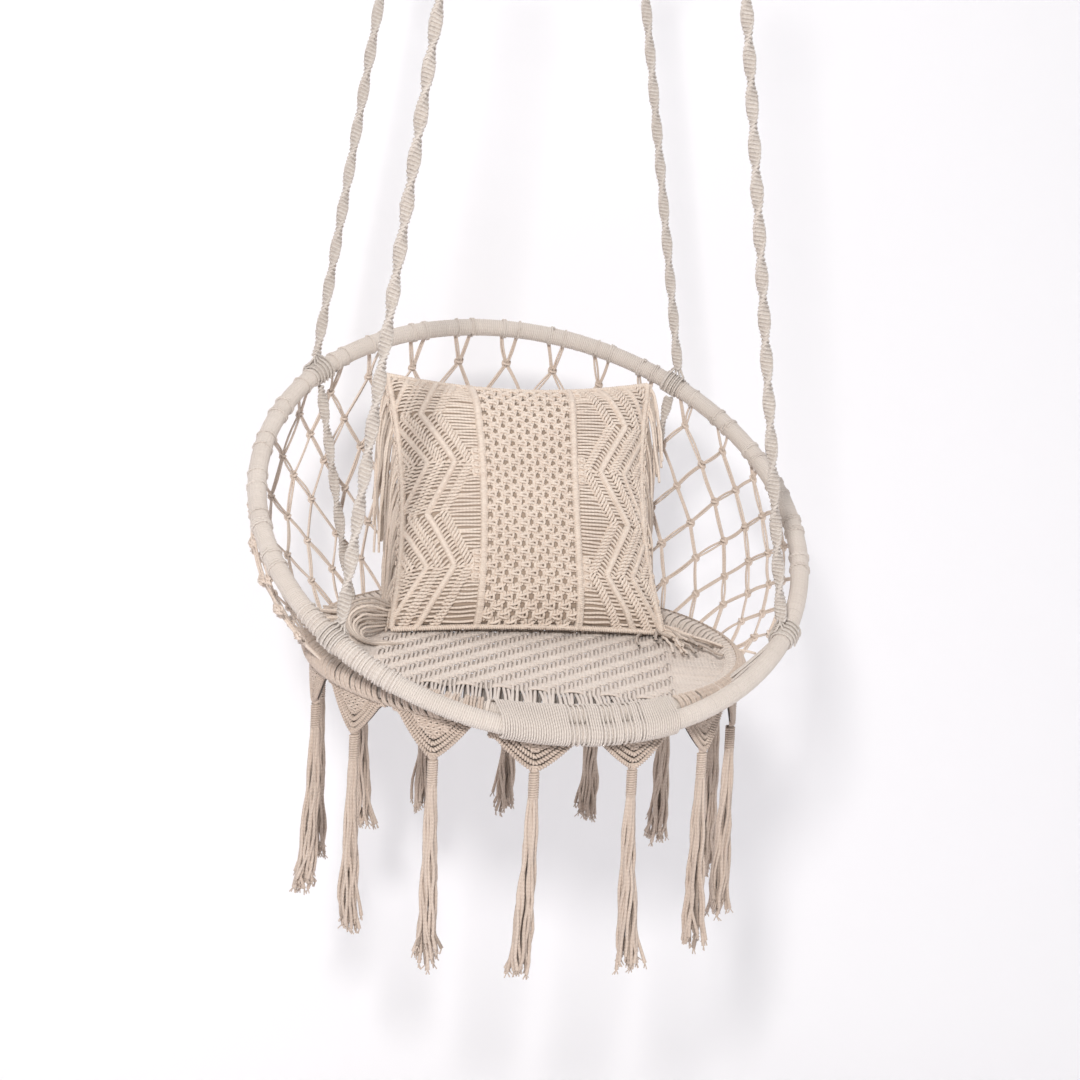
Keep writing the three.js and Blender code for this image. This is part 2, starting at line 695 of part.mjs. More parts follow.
// Fringe leaves
// Under the lashed stretch a leaf starts below the lashing, elsewhere below the seat hoop's winding.
const lashedAngle = Math.asin(lashingHalfSpan / seatHoopRadius);

function leafTop(angle) {
  const fromFront = Math.abs(Math.atan2(Math.sin(angle - frontAngle), Math.cos(angle - frontAngle)));
  const bandReach = roundIn(wrapRadius + lashingGap + lashingBandThickness, 2 * lashingTurnSteps);
  const lashed = bandReach / Math.cos(lashedAngle) / Math.cos(hoopContactAngle) + lashedLeafGap;
  return fromFront < lashedAngle + leafSpread / 2 ? lashed : wrapRadius + leafGap;
}

function leafGeometry(middleAngle) {
  const top = leafTop(middleAngle);
  const rings = [];
  for (let column = 0; column <= leafColumns; column += 1) {
    const across = 2 * column / leafColumns - 1;
    const angle = middleAngle + across * leafSpread;
    const place = seatHoop.pointAt(angle);
    const out = new THREE.Vector3(Math.cos(angle), Math.sin(angle), 0);
    const narrowing = Math.abs(across) ** 0.85;
    const drop = top + leafEdge + (leafDrop - top - leafEdge) * (1 - narrowing);
    const ribShare = 0.72;
    const rib = top + (drop - top) * ribShare;
    const half = leafThickness / 2;
    rings.push([[-half, drop], [-half, top], [half, top], [half, rib], [half + leafRib, (rib + drop) / 2], [half, drop]]
      .map(([depth, down]) => {
        const point = place.clone().addScaledVector(out, depth);
        point.z -= down;
        return point;
      }));
  }
  return loft(rings);
}

// Tassels
// Each hangs plumb from its leaf's tip: a domed wrapped neck, then the cords' fluted skirt.
function tasselGeometry(tip) {
  const sides = 2 * tasselLobes;
  const skirt = tasselLength - neckLength - neckRadius;
  const levels = [
    { down: 0, radius: neckRadius * 0.25, flute: 1 },
    { down: neckRadius, radius: neckRadius, flute: 1 },
    { down: neckRadius + neckLength, radius: neckRadius, flute: 1 },
    { down: neckRadius + neckLength + skirt * 0.06, radius: tasselTopRadius, flute: 0.8 },
    { down: neckRadius + neckLength + skirt * 0.6, radius: (tasselTopRadius + tasselFootRadius) / 2, flute: 0.65 },
    { down: tasselLength, radius: tasselFootRadius, flute: 0.55 },
    { down: tasselLength - neckRadius, radius: neckRadius / 2, flute: 1 },
  ];
  return loft(levels.reverse().map(({ down, radius, flute }) => Array.from({ length: sides }, (_, k) => {
    const reach = k % 2 === 0 ? radius : radius * flute;
    const angle = k * fullTurn / sides;
    return new THREE.Vector3(reach * Math.cos(angle), reach * Math.sin(angle), -down).add(tip);
  })));
}

for (let k = 0; k < leafCount; k += 1) {
  const number = String(k + 1).padStart(2, '0');
  const angle = k * fullTurn / leafCount;
  const tip = seatHoop.pointAt(angle);
  tip.z -= leafDrop + tasselGap;
  add(`fringe_leaf_${number}`, leafGeometry(angle), creamCord);
  add(`tassel_${number}`, tasselGeometry(tip), creamCord);
}

export default chair;
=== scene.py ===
import math

import bpy
import numpy as np
from mathutils import Matrix, Vector
from mathutils.bvhtree import BVHTree


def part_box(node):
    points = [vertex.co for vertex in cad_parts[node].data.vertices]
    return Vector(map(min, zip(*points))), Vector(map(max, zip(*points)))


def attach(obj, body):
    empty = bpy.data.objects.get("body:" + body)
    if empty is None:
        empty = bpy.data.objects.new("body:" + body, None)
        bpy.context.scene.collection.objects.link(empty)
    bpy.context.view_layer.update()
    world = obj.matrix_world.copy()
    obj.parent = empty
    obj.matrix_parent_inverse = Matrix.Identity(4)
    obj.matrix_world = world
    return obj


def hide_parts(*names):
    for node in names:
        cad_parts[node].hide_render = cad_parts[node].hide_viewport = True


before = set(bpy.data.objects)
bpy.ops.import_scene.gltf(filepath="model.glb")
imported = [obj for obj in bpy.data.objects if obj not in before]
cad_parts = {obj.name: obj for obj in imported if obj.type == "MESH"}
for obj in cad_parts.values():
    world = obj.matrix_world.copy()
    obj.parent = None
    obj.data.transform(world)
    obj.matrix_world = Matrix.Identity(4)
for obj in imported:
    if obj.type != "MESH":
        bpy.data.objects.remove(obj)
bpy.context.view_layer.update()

rng = np.random.default_rng(7)
TURN = 2 * math.pi

# Hoops: centre, centre line radius and tilt from level, in metres and radians
BACK = ((0.0, -0.01777, -0.8800), 0.3894, math.radians(40))
SEAT = ((0.0, -0.0006, -1.0802), 0.2991, math.radians(6))
WRAP_RADIUS = 0.0130
CORD = 0.0031
SEAT_NORMAL = np.array([0.0, -math.sin(SEAT[2]), math.cos(SEAT[2])])


def unit(v):
    v = np.asarray(v, float)
    return v / np.linalg.norm(v, axis=-1, keepdims=True)


def square_to(direction, axis):
    return unit(direction - (direction @ axis) * axis)


def hoop_point(hoop, angle):
    (cx, cy, cz), r, tilt = hoop
    a = np.asarray(angle, float)
    flat = r * np.sin(a)
    return np.stack([cx + r * np.cos(a), cy + flat * math.cos(tilt), cz + flat * math.sin(tilt)], -1)


def hoop_tangent(hoop, angle):
    tilt = hoop[2]
    a = np.asarray(angle, float)
    return np.stack([-np.sin(a), np.cos(a) * math.cos(tilt), np.cos(a) * math.sin(tilt)], -1)


def hoop_frame(hoop, angle):
    """A place on a hoop's centre line, the way along the hoop and the way out of its middle."""
    place = hoop_point(hoop, angle)
    return place, hoop_tangent(hoop, angle), unit(place - np.array(hoop[0]))


def arc(centre, radius, first, second, angle):
    """Points round a centre, from the first direction towards the second."""
    angle = np.asarray(angle, float)[..., None]
    return centre + radius * (np.cos(angle) * first + np.sin(angle) * second)


def arc_lengths(points):
    return np.r_[0, np.cumsum(np.linalg.norm(np.diff(points, axis=0), axis=1))]


def at_lengths(points, lengths, t):
    return np.stack([np.interp(t, lengths, points[:, k]) for k in range(3)], -1)


def add_object(name, data):
    obj = bpy.data.objects.new(name, data)
    bpy.context.scene.collection.objects.link(obj)
    return obj


# Camera, fitted to the photograph: metres, degrees and a focal length in pixels
CAMERA_PLACE = np.array([-0.7592, -2.5432, -0.5893])
CAMERA_ANGLES = (-16.936, -7.151, 2.674)
FOCAL_PIXELS, PHOTO_PIXELS, SENSOR_WIDTH = 1882.6, 1080, 36
yaw, pitch, roll = (math.radians(v) for v in CAMERA_ANGLES)
ahead = np.array([-math.sin(yaw) * math.cos(pitch), math.cos(yaw) * math.cos(pitch), math.sin(pitch)])
right = np.array([math.cos(yaw), math.sin(yaw), 0.0])
above = np.cross(right, ahead)
rolled_right = math.cos(roll) * right + math.sin(roll) * above
rolled_up = -math.sin(roll) * right + math.cos(roll) * above
camera_data = bpy.data.cameras.new("camera")
camera_data.sensor_width = SENSOR_WIDTH
camera_data.lens = SENSOR_WIDTH * FOCAL_PIXELS / PHOTO_PIXELS
camera_data.clip_start, camera_data.clip_end = 0.05, 60
camera = add_object("camera", camera_data)
camera_turn = Matrix([[rolled_right[k], rolled_up[k], -ahead[k]] for k in range(3)]).to_4x4()
camera.matrix_world = Matrix.Translation(Vector(CAMERA_PLACE)) @ camera_turn
bpy.context.scene.camera = camera

# Suspension ropes: the lowest bar of each rope's ring, in metres, and the angle of its tie on the back hoop
ROPES = {
    "back_left": ((-0.183, 0.1928, -0.0245), math.radians(135)),
    "back_right": ((0.183, 0.1928, -0.0245), math.radians(45)),
    "front_left": ((-0.183, -0.1928, -0.0245), math.radians(216)),
    "front_right": ((0.183, -0.1928, -0.0245), math.radians(-36)),
}
# Sizes in metres of the braids, of the whipping under each eye, of the eye, the ring and the tie
ROPE_DIAMETER, ROPE_THIN = 0.014, 0.0102
ROPE_WIDE = {"back_ropes": 0.0150, "front_ropes": 0.0166}
WHIPPING, WHIPPING_RADIUS, WHIPPING_PITCH = 0.034, 0.0078, 0.0030
EYE_RADIUS, EYE_CORD_RADIUS, EYE_CORD_PITCH, EYE_OVER_BAR = 0.013, 0.0016, 0.0024, 0.0082
RING_RADIUS, RING_BAR_RADIUS, RING_DROP = 0.0248, 0.0039, 0.0245
TIE_REACH, TIE_HALF, TIE_RADIUS, TIE_PITCH = 0.0172 + 0.0003, 0.0145, 0.01505, 0.0034
LOOSE_CORD_RADIUS = 0.0015


class Bundle:
    """Cords gathered into one mesh: every one is a tube with its own shade and a lay along it."""

    def __init__(self):
        self.verts, self.faces, self.uvs, self.shades, self.count = [], [], [], [], 0

    def put(self, verts, quads, uvs, shades):
        """Add one grid of quads, with a uv for each corner and a shade for each vertex."""
        self.verts.append(verts.reshape(-1, 3))
        self.faces.append(quads + self.count)
        self.uvs.append(uvs)
        self.shades.append(shades)
        self.count += len(self.verts[-1])

    def tubes(self, paths, radius, sides=5, flat=1.0, shade=None, closed=False):
        """Tubes along paths, an array of (tubes, points, 3). flat below 1 presses them.
        A shade below 0 paints shade on what lies deep under other cords."""
        paths = np.asarray(paths, float)
        if paths.ndim == 2:
            paths = paths[None]
        n, m, _ = paths.shape
        if closed:
            tangent = unit(np.roll(paths, -1, 1) - np.roll(paths, 1, 1))
        else:
            tangent = unit(np.gradient(paths, axis=1) + 1e-12)
        last = np.where(np.abs(tangent[:, 0, 2:3]) < 0.8, [0.0, 0, 1], [1.0, 0, 0])
        ups = np.empty_like(tangent)
        for k in range(m):
            last = unit(last - (last * tangent[:, k]).sum(-1, keepdims=True) * tangent[:, k])
            ups[:, k] = last
        across = np.cross(tangent, ups)
        angle = np.arange(sides) * TURN / sides
        radius = np.broadcast_to(np.asarray(radius, float), (n, m))[..., None, None]
        ring = np.cos(angle)[:, None] * across[:, :, None] + flat * np.sin(angle)[:, None] * ups[:, :, None]
        verts = paths[:, :, None] + radius * ring
        length = np.zeros((n, m))
        length[:, 1:] = np.cumsum(np.linalg.norm(np.diff(paths, axis=1), axis=-1), 1)
        rings = m if closed else m - 1
        i = np.arange(n)[:, None, None] * m * sides
        j = np.arange(rings)[None, :, None]
        jn = (j + 1) % m
        k = np.arange(sides)[None, None, :]
        kn = (k + 1) % sides
        corners = i + j * sides + k, i + j * sides + kn, i + jn * sides + kn, i + jn * sides + k
        quads = np.stack(np.broadcast_arrays(*corners), -1)
        low = length[:, :rings, None]
        high = (length[:, 1:, None] if not closed
                else np.roll(length, -1, 1)[:, :, None] + np.where(jn == 0, length[:, -1:, None], 0))
        around = [k / sides, (k + 1) / sides, (k + 1) / sides, k / sides]
        along = [low, low, high, high]
        uv = np.stack([np.stack(np.broadcast_arrays(a, b), -1) for a, b in zip(around, along)], -2)
        if shade is None:
            shade = rng.random(n)
        shade = np.asarray(shade, float)
        shades = np.broadcast_to(shade[:, None] if shade.ndim == 1 else shade, (n, m))
        self.put(verts, quads.reshape(-1, 4), uv.reshape(-1, 2), np.repeat(shades.ravel(), sides))

    def surface(self, grid, shade, scale=1.0):
        """A quad surface over grid, an array of (u, v, 3)."""
        nu, nv, _ = grid.shape
        a, b = np.arange(nu - 1)[:, None], np.arange(nv - 1)[None, :]
        corners = [(a, b), (a + 1, b), (a + 1, b + 1), (a, b + 1)]
        quads = np.stack([x * nv + y for x, y in corners], -1)
        uv = np.stack([np.stack(np.broadcast_arrays(x * scale, y * scale), -1) for x, y in corners], -2)
        self.put(grid.reshape(-1, 3), quads.reshape(-1, 4), uv.reshape(-1, 2), np.full(nu * nv, shade))

    def build(self, name, material, body, replaced, record_slot):
        verts, faces = np.concatenate(self.verts), np.concatenate(self.faces)
        uvs, shades = np.concatenate(self.uvs), np.concatenate(self.shades)
        mesh = bpy.data.meshes.new(name)
        mesh.vertices.add(len(verts))
        mesh.vertices.foreach_set("co", verts.astype(np.float32).ravel())
        mesh.loops.add(faces.size)
        mesh.loops.foreach_set("vertex_index", faces.astype(np.int32).ravel())
        mesh.polygons.add(len(faces))
        mesh.polygons.foreach_set("loop_start", np.arange(0, faces.size, 4, dtype=np.int32))
        mesh.polygons.foreach_set("use_smooth", np.ones(len(faces), bool))
        mesh.update(calc_edges=True)
        layer = mesh.uv_layers.new(name="lay")
        layer.data.foreach_set("uv", uvs.astype(np.float32).ravel())
        attribute = mesh.attributes.new("shade", "FLOAT", "POINT")
        attribute.data.foreach_set("value", shades.astype(np.float32))
        mesh.validate()
        obj = add_object(name, mesh)
        obj.data.materials.append(material)
        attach(obj, body)
        if replaced:
            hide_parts(*replaced)
        return obj


# Materials
def new_group(name, inputs, outputs):
    group = bpy.data.node_groups.new(name, "ShaderNodeTree")
    for label, kind, value in inputs:
        socket = group.interface.new_socket(label, in_out="INPUT", socket_type=kind)
        socket.default_value = value
    for label, kind in outputs:
        group.interface.new_socket(label, in_out="OUTPUT", socket_type=kind)
    return group, group.nodes.new("NodeGroupInput"), group.nodes.new("NodeGroupOutput")


def math_node(tree, operation, *values):
    node = tree.nodes.new("ShaderNodeMath")
    node.operation = operation
    for socket, value in zip(node.inputs, values):
        if isinstance(value, (int, float)):
            socket.default_value = value
        else:
            tree.links.new(value, socket)
    return node.outputs[0]


def noise(tree, scale, detail=2):
    node = tree.nodes.new("ShaderNodeTexNoise")
    node.inputs["Scale"].default_value, node.inputs["Detail"].default_value = scale, detail
    return node


def seen_rays(tree):
    """1 for the rays that see a surface directly, in a mirror or through glass."""
    rays = tree.nodes.new("ShaderNodeLightPath")
    either = math_node(tree, "MAXIMUM", rays.outputs["Is Camera Ray"], rays.outputs["Is Glossy Ray"])
    return math_node(tree, "MAXIMUM", either, rays.outputs["Is Transmission Ray"])


# Twisted cotton: noise per metre, what each part adds to the shade, the ply's length and the depth of its relief
FUZZ_SCALE, BLOTCH_SCALE = 900, 14
CORD_SHARE, BLOTCH_SHARE, PLY_SHARE, FUZZ_SHARE = 0.38, 0.45, 0.22, 0.55
PLY_LENGTH, RELIEF_DEPTH = 0.0052, 0.0008


def cotton_group():
    """Twisted cotton: a shade that changes from cord to cord, painted shade in the depths under other cords and in
    the grooves of the ply, and a plied, fuzzy relief.
    """
    inputs = [("Light", "NodeSocketColor", (0.7, 0.6, 0.5, 1)), ("Dark", "NodeSocketColor", (0.5, 0.4, 0.3, 1)),
              ("Ply", "NodeSocketFloat", PLY_LENGTH), ("Relief", "NodeSocketFloat", 0.5)]
    outputs = [("Color", "NodeSocketColor"), ("Normal", "NodeSocketVector")]
    group, given, result = new_group("twisted cotton", inputs, outputs)
    nodes, links = group.nodes, group.links
    lay = nodes.new("ShaderNodeUVMap")
    lay.uv_map = "lay"
    split = nodes.new("ShaderNodeSeparateXYZ")
    links.new(lay.outputs["UV"], split.inputs[0])
    turns = math_node(group, "DIVIDE", split.outputs["Y"], given.outputs["Ply"])
    phase = math_node(group, "MULTIPLY", math_node(group, "ADD", turns, split.outputs["X"]), TURN)
    ply = math_node(group, "MULTIPLY_ADD", math_node(group, "SINE", phase), 0.5, 0.5)
    place = nodes.new("ShaderNodeTexCoord")
    fuzz, blotch = noise(group, FUZZ_SCALE, 3), noise(group, BLOTCH_SCALE)
    for texture in (fuzz, blotch):
        links.new(place.outputs["Object"], texture.inputs["Vector"])
    own = nodes.new("ShaderNodeAttribute")
    own.attribute_name = "shade"
    tone = math_node(group, "MULTIPLY", own.outputs["Fac"], CORD_SHARE)
    tone = math_node(group, "MULTIPLY_ADD", blotch.outputs["Fac"], BLOTCH_SHARE, tone)
    # Painted shade: the colour darkens in the grooves between the plies, where the relief is low
    tone = math_node(group, "MULTIPLY_ADD", ply, PLY_SHARE, tone)
    mix = nodes.new("ShaderNodeMix")
    mix.data_type = "RGBA"
    links.new(tone, mix.inputs["Factor"])
    links.new(given.outputs["Dark"], mix.inputs["A"])
    links.new(given.outputs["Light"], mix.inputs["B"])
    # Painted shade: a shade below 0 darkens the colour of what lies deep under other cords
    lit = math_node(group, "MINIMUM", math_node(group, "ADD", own.outputs["Fac"], 1.0), 1.0)
    deep = nodes.new("ShaderNodeVectorMath")
    deep.operation = "SCALE"
    links.new(mix.outputs["Result"], deep.inputs[0])
    links.new(lit, deep.inputs["Scale"])
    links.new(deep.outputs[0], result.inputs["Color"])
    bump = nodes.new("ShaderNodeBump")
    bump.inputs["Distance"].default_value = RELIEF_DEPTH
    links.new(given.outputs["Relief"], bump.inputs["Strength"])
    links.new(math_node(group, "MULTIPLY_ADD", fuzz.outputs["Fac"], FUZZ_SHARE, ply), bump.inputs["Height"])
    links.new(bump.outputs["Normal"], result.inputs["Normal"])
    return group


COTTON = cotton_group()


def cotton(name, light, dark, relief=0.5):
    material = bpy.data.materials.new(name)
    material.use_nodes = True
    tree = material.node_tree
    shader = tree.nodes["Principled BSDF"]
    for label, value in (("Roughness", 0.95), ("Specular IOR Level", 0.15),
                         ("Sheen Weight", 0.15), ("Sheen Roughness", 0.6)):
        shader.inputs[label].default_value = value
    group = tree.nodes.new("ShaderNodeGroup")
    group.node_tree = COTTON
    for label, value in (("Light", (*light, 1)), ("Dark", (*dark, 1)), ("Ply", PLY_LENGTH), ("Relief", relief)):
        group.inputs[label].default_value = value
    tree.links.new(group.outputs["Color"], shader.inputs["Base Color"])
    tree.links.new(group.outputs["Normal"], shader.inputs["Normal"])
    return material


wrap_cotton = cotton("cream wrap cotton", (0.735, 0.67, 0.61), (0.585, 0.51, 0.45))
rope_cotton = cotton("cream rope cotton", (0.69, 0.635, 0.58), (0.53, 0.465, 0.41))
net_cotton = cotton("shaded net cotton", (0.80, 0.69, 0.60), (0.61, 0.50, 0.415))
seat_cotton = cotton("cream seat cotton", (0.78, 0.70, 0.63), (0.63, 0.54, 0.475))
fringe_cotton = cotton("cream fringe cotton", (0.68, 0.57, 0.485), (0.49, 0.39, 0.32))
pillow_cotton = cotton("sand pillow cotton", (0.87, 0.765, 0.665), (0.69, 0.57, 0.48))
lining_cotton = cotton("sand lining cotton", (0.74, 0.65, 0.56), (0.62, 0.52, 0.44), relief=0.2)
shaded_lining = cotton("shaded lining cotton", (0.50, 0.40, 0.32), (0.40, 0.31, 0.245), relief=0.2)

steel = bpy.data.materials.new("zinc plated steel")
steel.use_nodes = True
steel_shader = steel.node_tree.nodes["Principled BSDF"]
steel_shader.inputs["Base Color"].default_value = (0.62, 0.63, 0.65, 1)
steel_shader.inputs["Metallic"].default_value = 1.0
steel_noise = noise(steel.node_tree, 60)
steel_range = steel.node_tree.nodes.new("ShaderNodeMapRange")
steel_range.inputs["To Min"].default_value = 0.22
steel_range.inputs["To Max"].default_value = 0.42
steel.node_tree.links.new(steel_noise.outputs["Fac"], steel_range.inputs["Value"])
steel.node_tree.links.new(steel_range.outputs["Result"], steel_shader.inputs["Roughness"])
for node in ("back_hoop_tube", "seat_hoop_tube"):
    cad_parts[node].data.materials.clear()
    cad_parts[node].data.materials.append(steel)


# Cord shapes
SINNET_PITCH, SINNET_TURN, SINNET_CORD = 0.0052, 0.29, 0.0038


def perpendicular(direction, hint=(0.0, 0.0, 1.0)):
    direction = unit(direction)
    hint = np.asarray(hint, float)
    if abs(float(direction @ unit(hint))) > 0.95:
        hint = np.array([1.0, 0.0, 0.0])
    first = square_to(hint, direction)
    return first, np.cross(direction, first)


def line(a, b, steps):
    a, b = np.asarray(a, float), np.asarray(b, float)
    return a + (b - a) * np.linspace(0, 1, steps)[:, None]


def coil(bundle, centre_line, radius, pitch, cord, per_turn=12, sides=5, start=0.0):
    """A cord wound round a centre line, given as points, with turns side by side."""
    centre_line = np.asarray(centre_line, float)
    lengths = arc_lengths(centre_line)
    t = np.linspace(0, lengths[-1], max(int(lengths[-1] / pitch * per_turn), 8))
    middle = at_lengths(centre_line, lengths, t)
    tangent = unit(np.gradient(middle, axis=0))
    first, _ = perpendicular(tangent[0])
    ups = np.empty_like(tangent)
    for k in range(len(t)):
        first = square_to(first, tangent[k])
        ups[k] = first
    bundle.tubes(arc(middle, radius, ups, np.cross(tangent, ups), start + TURN * t / pitch), cord / 2, sides)


def sinnet(bundle, points, wide, thin, cord=SINNET_CORD, start=0.0):
    """A flat braid of half knots that turns on along its core: tilted loops, each with a bump at one edge."""
    points = np.asarray(points, float)
    lengths = arc_lengths(points)
    count = max(int(lengths[-1] / SINNET_PITCH), 2)
    t = (np.arange(count) + 0.5) * lengths[-1] / count
    middle = at_lengths(points, lengths, t)
    tangent = unit(np.gradient(middle, axis=0))
    first, second = perpendicular(tangent[0])
    angle = start + SINNET_TURN * np.arange(count) + rng.normal(0, 0.05, count)
    a = np.cos(angle)[:, None] * first + np.sin(angle)[:, None] * second
    b = np.cross(tangent, a)
    a, b, along = a[:, None], b[:, None], tangent[:, None]
    half_wide, half_thin = (wide - cord) / 2, (thin - cord) / 2
    # Three cords of the core
    for way in (-1, 0, 1):
        bundle.tubes(middle + way * half_wide * 0.50 * a[:, 0], thin * 0.34, 6, shade=[0.0])
    swell = 1 + rng.normal(0, 0.04, (count, 1, 1))
    for way in (-1, 1):
        # Bars across the core
        s = np.linspace(-1, 1, 9)[None, :, None]
        bar = middle[:, None] + swell * half_wide * np.sin(s * math.pi / 2) * a
        bar = bar + way * (half_thin + cord * 0.12) * (1 - 0.55 * s ** 4) * b
        bar = bar + (cord * 0.62 * s * way + rng.normal(0, 0.0002, (count, 1, 1))) * along
        bundle.tubes(bar, cord / 2, 5)
        # Bumps at the edges
        q = np.linspace(-1.5, 1.5, 6)[None, :, None]
        knuckle = middle[:, None] + swell * way * (half_wide - cord * 0.10 + cord * 0.28 * np.cos(q)) * a
        knuckle = knuckle + half_thin * 0.85 * np.sin(q) * b + cord * 0.62 * np.sin(q) * way * along
        bundle.tubes(knuckle, cord * 0.52, 5)


# Ropes, eyes and rings
def rope_ends(name):
    """Foot of a rope above its tie, its way up, the middle of its eye and both ends of its whipping."""
    bar, angle = ROPES[name]
    bar = np.array(bar)
    place, tangent = hoop_point(BACK, angle), hoop_tangent(BACK, angle)
    to_bar = unit(bar - place)
    foot = place + square_to(to_bar, tangent) * (TIE_REACH + 0.007 * abs(to_bar @ tangent))
    up = unit(bar - foot)
    eye_middle = bar + up * EYE_OVER_BAR - up * EYE_RADIUS
    whipping_top = eye_middle - up * EYE_RADIUS
    return foot, up, eye_middle, whipping_top, whipping_top - up * WHIPPING


def make_rope(name):
    foot, up, eye_middle, whipping_top, whipping_foot = rope_ends(name)
    body = "back_ropes" if name.startswith("back") else "front_ropes"
    rope_top = whipping_foot + up * WHIPPING / 2
    bundle = Bundle()
    sinnet(bundle, [foot + up * 0.004, rope_top], ROPE_WIDE[body], ROPE_THIN, start=rng.random() * 6)
    rope = bundle.build(f"rope_{name}_sinnet", rope_cotton, body, [f"rope_{name}"], "cream_cord")

    eye = Bundle()
    along_bar = unit(np.cross(up, (0.0, 1.0, 0.0)))
    front = np.cross(along_bar, up)
    around = np.linspace(0, TURN, 26, endpoint=False)
    for k in (-1, 0, 1):
        ring = arc(eye_middle, EYE_RADIUS, front, up, around) + k * EYE_CORD_PITCH * along_bar
        eye.tubes(ring, EYE_CORD_RADIUS, 6, closed=True)
    coil(eye, line(whipping_foot, whipping_top, 4), WHIPPING_RADIUS, WHIPPING_PITCH, 0.0029)
    eye.tubes(line(whipping_foot, whipping_top, 3), WHIPPING_RADIUS - 0.0004, 10)
    eye_obj = eye.build(f"rope_{name}_eye", wrap_cotton, body, (), "cream_cord")

    ring = Bundle()
    centre = np.array(ROPES[name][0]) + [0, 0, RING_DROP]
    around = np.linspace(0, TURN, 48, endpoint=False)
    loop = arc(centre, RING_RADIUS, np.array([1.0, 0, 0]), np.array([0, 0, 1.0]), around)
    ring.tubes(loop, RING_BAR_RADIUS, 12, closed=True)
    ring.build(f"hanging_ring_{name}_steel", steel, "hangers", [f"hanging_ring_{name}"], "steel")


for rope_name in ROPES:
    make_rope(rope_name)


# Hoop windings
VALLEY_RADIUS, CREST_HEIGHT = 0.0117, 0.0014


def wound_hoop(hoop, name, node, sides):
    """Close turns of cord round the tube as one helical surface, uneven here and there."""
    circumference = TURN * hoop[1]
    turns = int(circumference / CORD)
    over_turn = np.array([0.0, 0.13, 0.36, 0.64, 0.87])
    samples = len(over_turn)
    place = (np.arange(turns)[:, None] + over_turn).ravel()
    around = np.arange(sides) / sides
    t = (place[:, None] + around) / turns
    middle, tangent, out = hoop_frame(hoop, t * TURN - math.pi / 2)
    up = np.cross(out, tangent)
    crest = np.tile(np.sqrt(np.sin(math.pi * over_turn)), turns)
    turn_size = np.repeat(rng.normal(0, 0.00012, turns), samples)
    unevenness = np.interp(t, np.linspace(0, 1, 60), rng.normal(0, 0.00014, 60), period=1)
    radius = (VALLEY_RADIUS + CREST_HEIGHT * crest + turn_size)[:, None] + unevenness
    angle = (around * TURN)[None, :, None]
    grid = middle + radius[..., None] * (np.cos(angle) * out + np.sin(angle) * up)
    a, b = np.arange(len(place))[:, None], np.arange(sides)[None, :]
    bn = (b + 1) % sides
    over = np.where(bn == 0, samples, 0)
    quads = np.stack([a * sides + b, (a + 1) % len(place) * sides + b,
                      (a + 1 + over) % len(place) * sides + bn, (a + over) % len(place) * sides + bn], -1)
    x = np.append(place, turns)
    lay = [(x[a], b / sides), (x[a + 1], b / sides), (x[a + 1], (b + 1) / sides), (x[a], (b + 1) / sides)]
    uvs = np.stack([np.stack(np.broadcast_arrays(u, v * TURN * WRAP_RADIUS), -1) for u, v in lay], -2)
    # Painted shade in the grooves between the turns and painted light on their crests, and each turn with its own
    # shade
    shades = np.where(crest < 0.1, -0.42, 0.25 + 0.35 * crest + np.repeat(0.35 * rng.random(turns), samples))
    bundle = Bundle()
    bundle.put(grid, quads.reshape(-1, 4), uvs.reshape(-1, 2), np.repeat(shades, sides))
    bundle.build(name, wrap_cotton, "chair", [node], "cream_cord")


wound_hoop(BACK, "back_hoop_winding", "back_hoop_wrap", 14)
wound_hoop(SEAT, "seat_hoop_winding", "seat_hoop_wrap", 12)

# A second, looser winding over the back hoop at its left front, with slanted turns
LOOSE_FROM, LOOSE_TO, LOOSE_RADIUS, LOOSE_SLANT = math.radians(208), math.radians(232), 0.0134, 0.0026
loose = Bundle()
place = LOOSE_FROM
while place < LOOSE_TO:
    lean = rng.normal(0.35, 0.30)
    q = np.linspace(0, TURN, 13)[:-1]
    centre, tangent, out = hoop_frame(BACK, place)
    ring = arc(centre, LOOSE_RADIUS, out, np.cross(out, tangent), q)
    ring += (LOOSE_SLANT * lean * np.sin(q + 0.6))[:, None] * tangent
    loose.tubes(ring, 0.0017, 6, closed=True)
    place += (0.0042 + 0.0050 * rng.random() ** 2) / BACK[1]
loose.build("back_hoop_loose_turns", wrap_cotton, "chair", (), "cream_cord")


# Ties: slanted turns round the hoop, with the rope's cords fanning into them
TIE_CORDS, TIE_WOUND_RADIUS = 8, 0.0185


def make_tie(name):
    angle = ROPES[name][1]
    foot, up, *_ = rope_ends(name)
    place, tangent = hoop_point(BACK, angle), hoop_tangent(BACK, angle)
    normal = square_to(up, tangent)
    across = np.cross(tangent, normal)
    bundle = Bundle()
    span = np.linspace(-TIE_HALF, TIE_HALF, 7) / BACK[1]
    coil(bundle, hoop_point(BACK, angle + span), TIE_RADIUS, TIE_PITCH, TIE_PITCH, 14, 6, start=rng.random() * 6)
    for k in range(TIE_CORDS):
        s = (k - 3.5) / 3.5
        way = 1 if k % 2 else -1
        wound = arc(place, TIE_WOUND_RADIUS, normal, way * across, np.linspace(0.25, 2.2, 7)) + tangent * 0.0125 * s
        path = [foot + up * 0.012 + tangent * 0.002 * s, foot + up * 0.004 + tangent * 0.006 * s, *wound]
        bundle.tubes(path, LOOSE_CORD_RADIUS, 6)
    bundle.build(f"rope_tie_{name}_turns", rope_cotton, "chair", [f"rope_tie_{name}"], "cream_cord")


for rope_name in ROPES:
    make_tie(rope_name)


# Stays: knotted at the back, loose bundles at the front
STAY_WIDE, STAY_THIN, STAY_CORD, STAY_CORDS = 0.0150, 0.0092, 0.0034, 8


